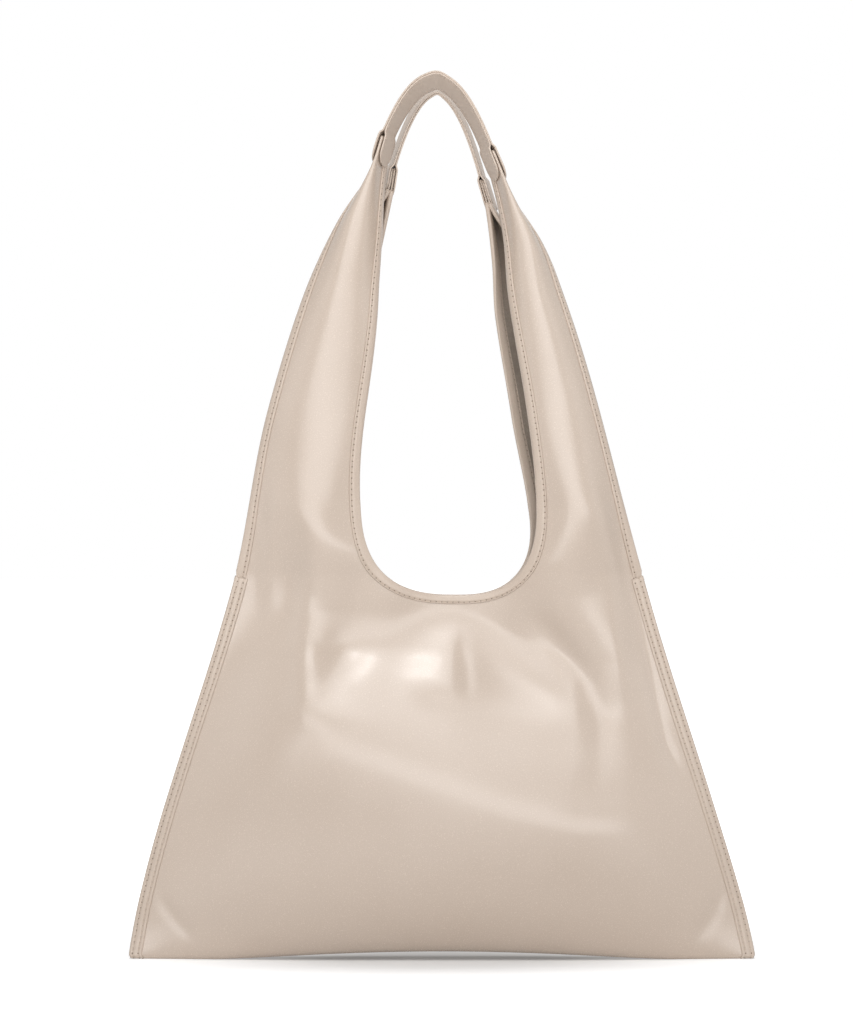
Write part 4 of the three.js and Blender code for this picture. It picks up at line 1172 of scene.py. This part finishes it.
class BAG_OT_panels(bpy.types.Operator):
    """Makes the front and the back panel, each with its two horns"""

    bl_idname = "bag.make_panels"
    bl_label = "Panels"

    def execute(self, context):
        sizes = context.scene.bag_sizes
        for shape in shapes_of(context):
            mouth = shape.mouth_edge(shape.tip, HORN_STEPS, SIDE_STEPS + BASE_STEPS - 1)
            outer = shape.outer_edge(HORN_STEPS, SIDE_STEPS, BASE_STEPS)
            share = 1 - (1 - np.linspace(0.0, 1.0, PANEL_ROWS)) ** ROW_CROWDING
            spread = mouth[:, None] + (outer - mouth)[:, None] * share[:, None]
            rows = shape.surface(spread[..., 0], spread[..., 1])
            shaped, spots = laid_grid(rows)
            first = HORN_STEPS + SIDE_STEPS - 2
            low = {(index, PANEL_ROWS - 1) for index in range(first, len(mouth) - first)}
            base = [edge for edge in shaped.edges if all(spots[vert] in low for vert in edge.verts)]
            self.turn_under(shaped, base, shape.facing)
            face_out(shaped, lambda face: Vector((0.0, shape.facing, 0.0)))
            backing = made_once(context, "leather_backing", backing_nodes)
            piece = object_from(shaped, shape.name + "_leather", [leather_material(context), backing])
            thicken(piece, sizes.panel_thickness, 0.0, inner_slot=1)
            nodes = [shape.name + "_panel", shape.name + "_left_horn", shape.name + "_right_horn"]
            finish_piece(piece, nodes, shape=shape)
        return {"FINISHED"}

    def turn_under(self, shaped, edges, facing):
        """Extrudes the bottom edge inwards under the bag to the base seam."""
        for keep in UNDER_SHARES:
            made = bmesh.ops.extrude_edge_only(shaped, edges=edges)["geom"]
            edges = [part for part in made if isinstance(part, bmesh.types.BMEdge)]
            fresh = {vert for edge in edges for vert in edge.verts}
            for vert in fresh:
                vert.co.y = facing * max(UNDER_GAP, abs(vert.co.y) * keep)


class BAG_OT_mouth_bindings(bpy.types.Operator):
    """Makes the bindings round the mouth and their stitching"""

    bl_idname = "bag.make_mouth_bindings"
    bl_label = "Mouth bindings"

    def execute(self, context):
        sewing = context.scene.bag_sewing
        for shape in shapes_of(context):
            edge = shape.mouth_edge(shape.tab + BINDING_REACH, RIM_STEPS, RIM_TURN_STEPS)
            inward = inward_of(edge, (0.0, shape.widest))
            narrow = mix(MOUTH_NARROW, 1.0, smooth_step(edge[:, 1], shape.body, shape.body + NARROW_RISE))
            size = (sewing.mouth_width, sewing.mouth_row)
            places = [shape.name + end for end in ("_mouth", "_left_rim", "_right_rim")]
            nodes = [place + "_binding" for place in places]
            threads = [place + "_thread" for place in places]
            bound_edge(context, shape, edge, inward, size, places[0], nodes, threads, narrow=narrow)
        return {"FINISHED"}


class BAG_OT_slit_bindings(bpy.types.Operator):
    """Makes the bindings on the horns' outer edges and their stitching"""

    bl_idname = "bag.make_slit_bindings"
    bl_label = "Slit bindings"

    def execute(self, context):
        sewing = context.scene.bag_sewing
        for shape in shapes_of(context):
            for hand, sign in HANDS:
                height = np.linspace(SLIT_HEIGHT - SLIT_OVERLAP, shape.tab + BINDING_REACH, SLIT_STEPS)
                edge = np.stack((sign * shape.outline(height), height), axis=1)
                inward = -inward_of(edge, (0.0, shape.widest))
                above = smooth_step(height, SLIT_HEIGHT - THIN_START, SLIT_HEIGHT + THIN_LENGTH)
                full = mix(SLIT_THIN, 1.0, above)
                size = (sewing.slit_width, sewing.slit_row)
                slit = shape.name + "_" + hand + "_slit"
                nodes, threads = [slit + "_binding"], [slit + "_thread"]
                bound_edge(context, shape, edge, inward, size, slit, nodes, threads, full)
        return {"FINISHED"}


class BAG_OT_side_bindings(bpy.types.Operator):
    """Makes the bindings over both side seams, their stitching and the bar tacks"""

    bl_idname = "bag.make_side_bindings"
    bl_label = "Side bindings"

    def execute(self, context):
        sewing = context.scene.bag_sewing
        shapes = shapes_of(context)
        stitched = [sewing.side_outer_row, sewing.side_inner_row]
        marks = binding_marks(sewing.side_width, stitched)
        swell = binding_swell(marks, sewing.side_width, stitched)
        turn = np.linspace(0.0, math.pi, SEAM_TURN_STEPS)[1:-1]
        for hand, sign in HANDS:
            legs = [self.leg(shape, sign, marks, swell, sewing) for shape in shapes]
            (front, front_out), (back, back_out) = legs
            middle = (front[:, :1] + back[:, :1]) / 2
            reach = (front[:, :1] - back[:, :1]) / 2
            beyond = np.array((sign, 0.0, 0.0)) * sewing.edge_cover
            fold = middle + reach * np.cos(turn)[:, None] + beyond * np.sin(turn)[:, None]
            sections = np.concatenate((front[:, ::-1], fold, back), axis=1)
            rows = []
            for row in stitched:
                column = int(np.argmin(np.abs(marks - row)))
                rows.append((front[:, column], front_out[:, column]))
                rows.append((back[:, column], back_out[:, column]))
            uvs = strip_uvs(rows[2][0], marks, turn, sewing.stitch_pitch)
            name = hand + "_side"
            piece = strip_object(context, name + "_edge", sections, uvs, front_out[:, -1], stitched)
            finish_piece(piece, [name + "_binding"], body="bag")
            ends = ("front_inner", "front_outer", "back_inner", "back_outer")
            threads = [name + "_thread_" + end for end in ends]
            sewn = [(points[SEAM_SEWN], outs[SEAM_SEWN]) for points, outs in rows]
            stitching(context, name + "_stitches", sewn, threads, body="bag")
            tacks = [self.tack(rows[0], rows[2]), self.tack(rows[1], rows[3])]
            stitching(context, hand + "_tack_stitches", tacks, [hand + "_bar_tack"], body="bag")
        return {"FINISHED"}

    def leg(self, shape, sign, marks, swell, sewing):
        """One face of a side binding, from the edge inwards, and the directions out of it."""
        height = np.linspace(0.0, SLIT_HEIGHT, SEAM_STEPS)
        edge = np.stack((sign * shape.outline(height), height), axis=1)
        inward = -inward_of(edge, (0.0, shape.widest))
        level = np.array((-sign, 0.0))
        inward = unit(mix(level, inward, smooth_step(height, 0.0, LEVEL_RISE)[:, None]))
        x, h = shape.inside(edge, inward, marks)
        out = shape.outward(x, np.maximum(h, OUT_LEAST))
        full = mix(1.0, SIDE_THIN, smooth_step(height, SLIT_HEIGHT - THIN_LENGTH, SLIT_HEIGHT))
        stand = shape.face + full[:, None] * (sewing.binding_thickness + swell)
        leg = shape.surface(x, h) + out * stand[..., None]
        lowered = shape.face * (1 - np.clip(h / shape.sizes.belly_height, 0.0, 1.0)) ** 2
        leg[..., 2] = np.maximum(leg[..., 2] - lowered, 0.0)
        return leg, out

    def tack(self, outer, inner):
        """A short slanting row that joins the two rows at the top of the seam."""
        share = np.linspace(0.0, 1.0, TACK_POINTS)[:, None]
        points = mix(outer[0][-1], inner[0][-TACK_POINTS], share) + outer[1][-1] * TACK_RISE
        return points, np.repeat(outer[1][-1:], TACK_POINTS, axis=0)


class BAG_OT_straps(bpy.types.Operator):
    """Makes the two layers of each strap and their stitching"""

    bl_idname = "bag.make_straps"
    bl_label = "Straps"

    def execute(self, context):
        sizes = context.scene.bag_sizes
        sewing = context.scene.bag_sewing
        for shape in shapes_of(context):
            for layer_name, layer in (("outer", 1.0), ("inner", -1.0)):
                across = np.linspace(-1.0, 1.0, STRAP_ROWS)
                share, width = self.stations(shape, sizes)
                crown = STRAP_CROWN * (1 - across**4)
                inset = (1 - np.abs(across)) * width[:, None] / 2 - sewing.strap_row
                crown = crown - STRAP_GROOVE * np.exp(-((inset / STRAP_GROOVE_WIDTH) ** 2))
                rows, out = self.faces(shape, sizes, share, width, layer, across, crown)
                shaped, _ = laid_grid(rows)
                outs = out * layer
                face_out(shaped, lambda face: Vector(self.nearest(rows, outs, face)))
                name = shape.name + "_strap_" + layer_name
                piece = object_from(shaped, name + "_leather", [leather_material(context, "strap_leather")])
                thicken(piece, sizes.strap_layer, -1.0)
                soften(piece, STRAP_EDGE)
                finish_piece(piece, [name], body=shape.name + "_handle")
                threads = self.thread_rows(shape, sizes, sewing, layer)
                stitching(context, name + "_stitches", threads, [name + "_thread"], shape.name + "_handle")
        return {"FINISHED"}

    def nearest(self, rows, outs, face):
        """The wanted direction at the station nearest a face."""
        gaps = np.linalg.norm(rows[:, rows.shape[1] // 2] - np.array(face.calc_center_median()), axis=1)
        return outs[int(np.argmin(gaps))]

    def stations(self, shape, sizes):
        """Shares of the half span along a strap, from one tab end to the other, with the widths there."""
        turn = np.radians(np.linspace(*TAB_TURN, TAB_STEPS))
        ends = shape.tab + TAB_ROUND * (1 - np.cos(turn))
        tab = np.sqrt((shape.top - ends) / shape.side["rise"])
        leg = np.append(tab, np.linspace(tab[-1], 0.0, LEG_STEPS)[1:])
        wide = np.append(np.sin(turn), np.ones(LEG_STEPS - 1)) * sizes.strap_width
        return np.append(-leg, leg[-2::-1]), np.append(wide, wide[-2::-1])

    def faces(self, shape, sizes, share, width, layer, across, crown):
        """Rows of points on the outer face of a strap layer and the directions out of the loop."""
        span, rise = shape.side["span"], shape.side["rise"]
        height = shape.top - rise * share * share
        along = unit(np.stack((np.full(len(share), span / 2), -2 * rise * share), axis=1))
        out = np.stack((-along[:, 1], np.zeros(len(share)), along[:, 0]), axis=1)
        covered = np.minimum(height, shape.tip)
        edge = shape.side_line(covered) if layer > 0 else shape.mouth(covered)
        folded = layer * (edge - shape.leg_middle(covered)) * np.cos(shape.leg_lean(covered))
        joined = smooth_step(height, shape.tip, shape.tip + SPLIT_RISE)
        opening = mix(folded + shape.face + TAB_CLEARANCE, LAYER_GAP, joined)
        depth = STRAP_DEPTH + across * width[:, None] / 2
        off = layer * (opening[:, None] + sizes.strap_layer + crown)
        flare = mix(shape.side["crown_flare"], shape.side["flare"], smooth_step(np.abs(share), 0.0, 1.0))
        off = off + flare[:, None] * (depth - STRAP_DEPTH) / sizes.strap_width
        off = off + CROWN_PEAK * np.exp(-((share[:, None] / CROWN_WIDTH) ** 2))
        x = span / 2 * share[:, None] + out[:, :1] * off
        z = height[:, None] + out[:, 2:] * off
        rows = np.stack((x + shape.lean(z), shape.facing * depth, z - shape.sunk(x, z)), axis=-1)
        return rows, out

    def thread_rows(self, shape, sizes, sewing, layer):
        """The stitching along both edges of a strap layer."""
        share, width = self.stations(shape, sizes)
        sewn = width > SEWN_LEAST * sewing.strap_row
        rows = []
        for edge in (-1.0, 1.0):
            across = (edge * (1 - 2 * sewing.strap_row / width[sewn]))[:, None]
            places, out = self.faces(shape, sizes, share[sewn], width[sewn], layer, across, -THREAD_SINK)
            rows.append((places[:, 0], out * layer))
        return rows


class BAG_OT_snap(bpy.types.Operator):
    """Makes the patches behind the magnetic snap and finishes the snap"""

    bl_idname = "bag.make_snap"
    bl_label = "Snap"

    def execute(self, context):
        sizes = context.scene.bag_sizes
        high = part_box("front_snap_patch")[1].z
        for shape in shapes_of(context):
            across, up = np.linspace(-1.0, 1.0, PATCH_STEPS), np.linspace(-1.0, 1.0, PATCH_ROWS)
            across, up = np.meshgrid(across, up, indexing="ij")
            rounded = 1 - PATCH_ROUND * (across * up) ** 4
            x = across * rounded * sizes.patch_width / 2
            height = high - sizes.patch_height / 2 + up * rounded * sizes.patch_height / 2
            rows = shape.surface(x, height)
            rows[..., 1] = shape.facing * (MOUTH_DEPTH - shape.face - PATCH_INSET)
            shaped, _ = laid_grid(rows)
            face_out(shaped, lambda face: Vector((0.0, -shape.facing, 0.0)))
            name = shape.name + "_snap_patch"
            piece = object_from(shaped, name + "_leather", [leather_material(context)])
            thicken(piece, PATCH_THICKNESS, -1.0)
            soften(piece, CUT_EDGE)
            finish_piece(piece, [name], body="bag")
        for node in ("snap_stud", "snap_socket"):
            for slot in frame["nodes"][node].material_slots:
                slot.material = made_once(context, "satin_nickel", nickel_nodes)
        return {"FINISHED"}


class BAG_OT_base_strip(bpy.types.Operator):
    """Makes the woven tape over the base seam and its stitching"""

    bl_idname = "bag.make_base_strip"
    bl_label = "Base strip"

    def execute(self, context):
        sizes = context.scene.bag_sizes
        shape = shapes_of(context)[0]
        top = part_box("base_strip")[1].z
        x = np.linspace(-sizes.strip_length / 2, sizes.strip_length / 2, TAPE_STEPS)
        half = np.maximum(TAPE_LEAST, shape.depth(x, np.zeros(len(x))) - TAPE_INSET)
        z = top - BASE_LIFT + base_arch(x)
        across = np.linspace(-1.0, 1.0, TAPE_ROWS)
        rows = np.stack(np.broadcast_arrays(x[:, None], half[:, None] * across, z[:, None]), axis=-1)
        shaped, _ = laid_grid(rows)
        face_out(shaped, lambda face: Vector((0.0, 0.0, 1.0)))
        piece = object_from(shaped, "base_tape", [made_once(context, "woven_tape", tape_nodes)])
        thicken(piece, TAPE_THICKNESS, -1.0)
        soften(piece, CUT_EDGE)
        finish_piece(piece, ["base_strip"], body="bag")
        up = np.repeat(np.array([(0.0, 0.0, 1.0)]), len(x), axis=0)
        rows = [np.stack((x, edge * (half - TAPE_ROW), z), axis=1) for edge in (-1.0, 1.0)]
        sewn = [(row[TAPE_SEWN], up[TAPE_SEWN]) for row in rows]
        stitching(context, "base_stitches", sewn, ["base_strip_thread"], body="bag")
        return {"FINISHED"}


class BAG_OT_stage(bpy.types.Operator):
    """Makes the floor, the lights and the camera"""

    bl_idname = "bag.make_stage"
    bl_label = "Stage"

    def execute(self, context):
        scene = context.scene
        stage = scene.bag_stage
        self.floor()
        self.world(scene, stage)
        for name, power, size, place, aim in LAMPS:
            self.lamp(name, getattr(stage, power), size, place, aim)
        eye = bpy.data.cameras.new("camera")
        eye.lens = stage.focal_length
        eye.sensor_width = 36.0
        camera = bpy.data.objects.new("camera", eye)
        camera.location = (stage.camera_aside, -stage.camera_distance, stage.camera_height)
        camera.rotation_euler = (math.pi / 2, 0.0, 0.0)
        scene.collection.objects.link(camera)
        scene.camera = camera
        scene.view_settings.view_transform = "Standard"
        return {"FINISHED"}

    def floor(self):
        """A wide white floor keeping the soft shadow; its glow is dimmed under the bag as painted shadow."""
        shaped = bmesh.new()
        bmesh.ops.create_grid(shaped, x_segments=8, y_segments=8, size=20.0)
        bmesh.ops.translate(shaped, verts=shaped.verts[:], vec=(0.0, 0.0, -FLOOR_DROP))
        material, tree, shader = new_material("floor_white")
        shader.inputs["Base Color"].default_value = (FLOOR_TONE, FLOOR_TONE, FLOOR_TONE, 1.0)
        shader.inputs["Roughness"].default_value = 1.0
        shader.inputs["Specular IOR Level"].default_value = 0.0
        glow = tree.nodes.new("ShaderNodeEmission")
        seen = tree.nodes.new("ShaderNodeLightPath")
        places = tree.nodes.new("ShaderNodeTexCoord").outputs["Object"]
        away = vector_node(tree, "LENGTH", places)["Value"]
        # Painted shadow: the glow is lowered in an oval under and before the bag, darkening the floor there
        stretch = (1 / SHADOW_SIZE[0], 1 / SHADOW_SIZE[1], 0.0)
        under = vector_node(tree, "MULTIPLY_ADD", places, stretch, (0.0, SHADOW_SHIFT, 0.0))["Vector"]
        beside = vector_node(tree, "LENGTH", under)["Value"]
        glow_with_painted_shadow = ranged(tree, beside, *SHADOW_GLOW)
        far_floor = ranged(tree, away, *FLOOR_GLOW)
        lift = math_node(tree, "MULTIPLY", glow_with_painted_shadow, far_floor)
        # Painted light: other rays see part of the glow, so the floor lights the bag from below like a lamp
        shown = math_node(tree, "MAXIMUM", seen.outputs["Is Camera Ray"], LEAST_GLOW)
        strength = math_node(tree, "MULTIPLY", shown, lift)
        tree.links.new(strength, glow.inputs["Strength"])
        both = tree.nodes.new("ShaderNodeAddShader")
        tree.links.new(shader.outputs[0], both.inputs[0])
        tree.links.new(glow.outputs[0], both.inputs[1])
        tree.links.new(both.outputs[0], tree.nodes["Material Output"].inputs["Surface"])
        object_from(shaped, "floor", [material])

    def world(self, scene, stage):
        """White to the camera and in reflections, softer light for the rest."""
        world = bpy.data.worlds.new("white_room")
        world.use_nodes = True
        tree = world.node_tree
        background = tree.nodes["Background"]
        path = tree.nodes.new("ShaderNodeLightPath")
        seen = math_node(tree, "MAXIMUM", path.outputs["Is Camera Ray"], path.outputs["Is Transmission Ray"])
        seen = math_node(tree, "MAXIMUM", seen, path.outputs["Is Glossy Ray"])
        strength = ranged(tree, seen, 0.0, 1.0, stage.room_light, 1.0, smooth=False)
        background.inputs["Color"].default_value = (1.0, 1.0, 1.0, 1.0)
        tree.links.new(strength, background.inputs["Strength"])
        scene.world = world

    def lamp(self, name, power, size, place, aim):
        """A soft rectangular lamp that points at a place."""
        light = bpy.data.lights.new(name, "AREA")
        light.shape = "RECTANGLE"
        light.size, light.size_y = size
        light.energy = power
        lamp = bpy.data.objects.new(name, light)
        lamp.location = place
        way = Vector(aim) - Vector(place)
        lamp.rotation_euler = way.to_track_quat("-Z", "Y").to_euler()
        bpy.context.scene.collection.objects.link(lamp)


class BAG_PT_sidebar(bpy.types.Panel):
    """Lists the bag's sizes, colours and pieces"""

    bl_label = "Shopper bag"
    bl_idname = "BAG_PT_sidebar"
    bl_space_type = "VIEW_3D"
    bl_region_type = "UI"
    bl_category = "Bag"

    def draw(self, context):
        for label, kind in GROUPS.items():
            column = self.layout.column(align=True)
            for value in kind.__annotations__:
                column.prop(getattr(context.scene, label), value)
        for operator in OPERATORS:
            self.layout.operator(operator.bl_idname)


OPERATORS = (
    BAG_OT_panels,
    BAG_OT_mouth_bindings,
    BAG_OT_slit_bindings,
    BAG_OT_side_bindings,
    BAG_OT_straps,
    BAG_OT_snap,
    BAG_OT_base_strip,
    BAG_OT_stage,
)
GROUPS = {
    "bag_sizes": BagSizes,
    "bag_sewing": BagSewing,
    "bag_colours": BagColours,
    "bag_stage": BagStage,
}


def register():
    for label, group in GROUPS.items():
        bpy.utils.register_class(group)
        setattr(bpy.types.Scene, label, bpy.props.PointerProperty(type=group))
    for item in (*OPERATORS, BAG_PT_sidebar):
        bpy.utils.register_class(item)


def unregister():
    for item in (BAG_PT_sidebar, *reversed(OPERATORS)):
        bpy.utils.unregister_class(item)
    for label, group in GROUPS.items():
        delattr(bpy.types.Scene, label)
        bpy.utils.unregister_class(group)


def main():
    register()
    bpy.ops.bag.make_panels()
    bpy.ops.bag.make_mouth_bindings()
    bpy.ops.bag.make_slit_bindings()
    bpy.ops.bag.make_side_bindings()
    bpy.ops.bag.make_straps()
    bpy.ops.bag.make_snap()
    bpy.ops.bag.make_base_strip()
    bpy.ops.bag.make_stage()


if __name__ == "__main__":
    main()
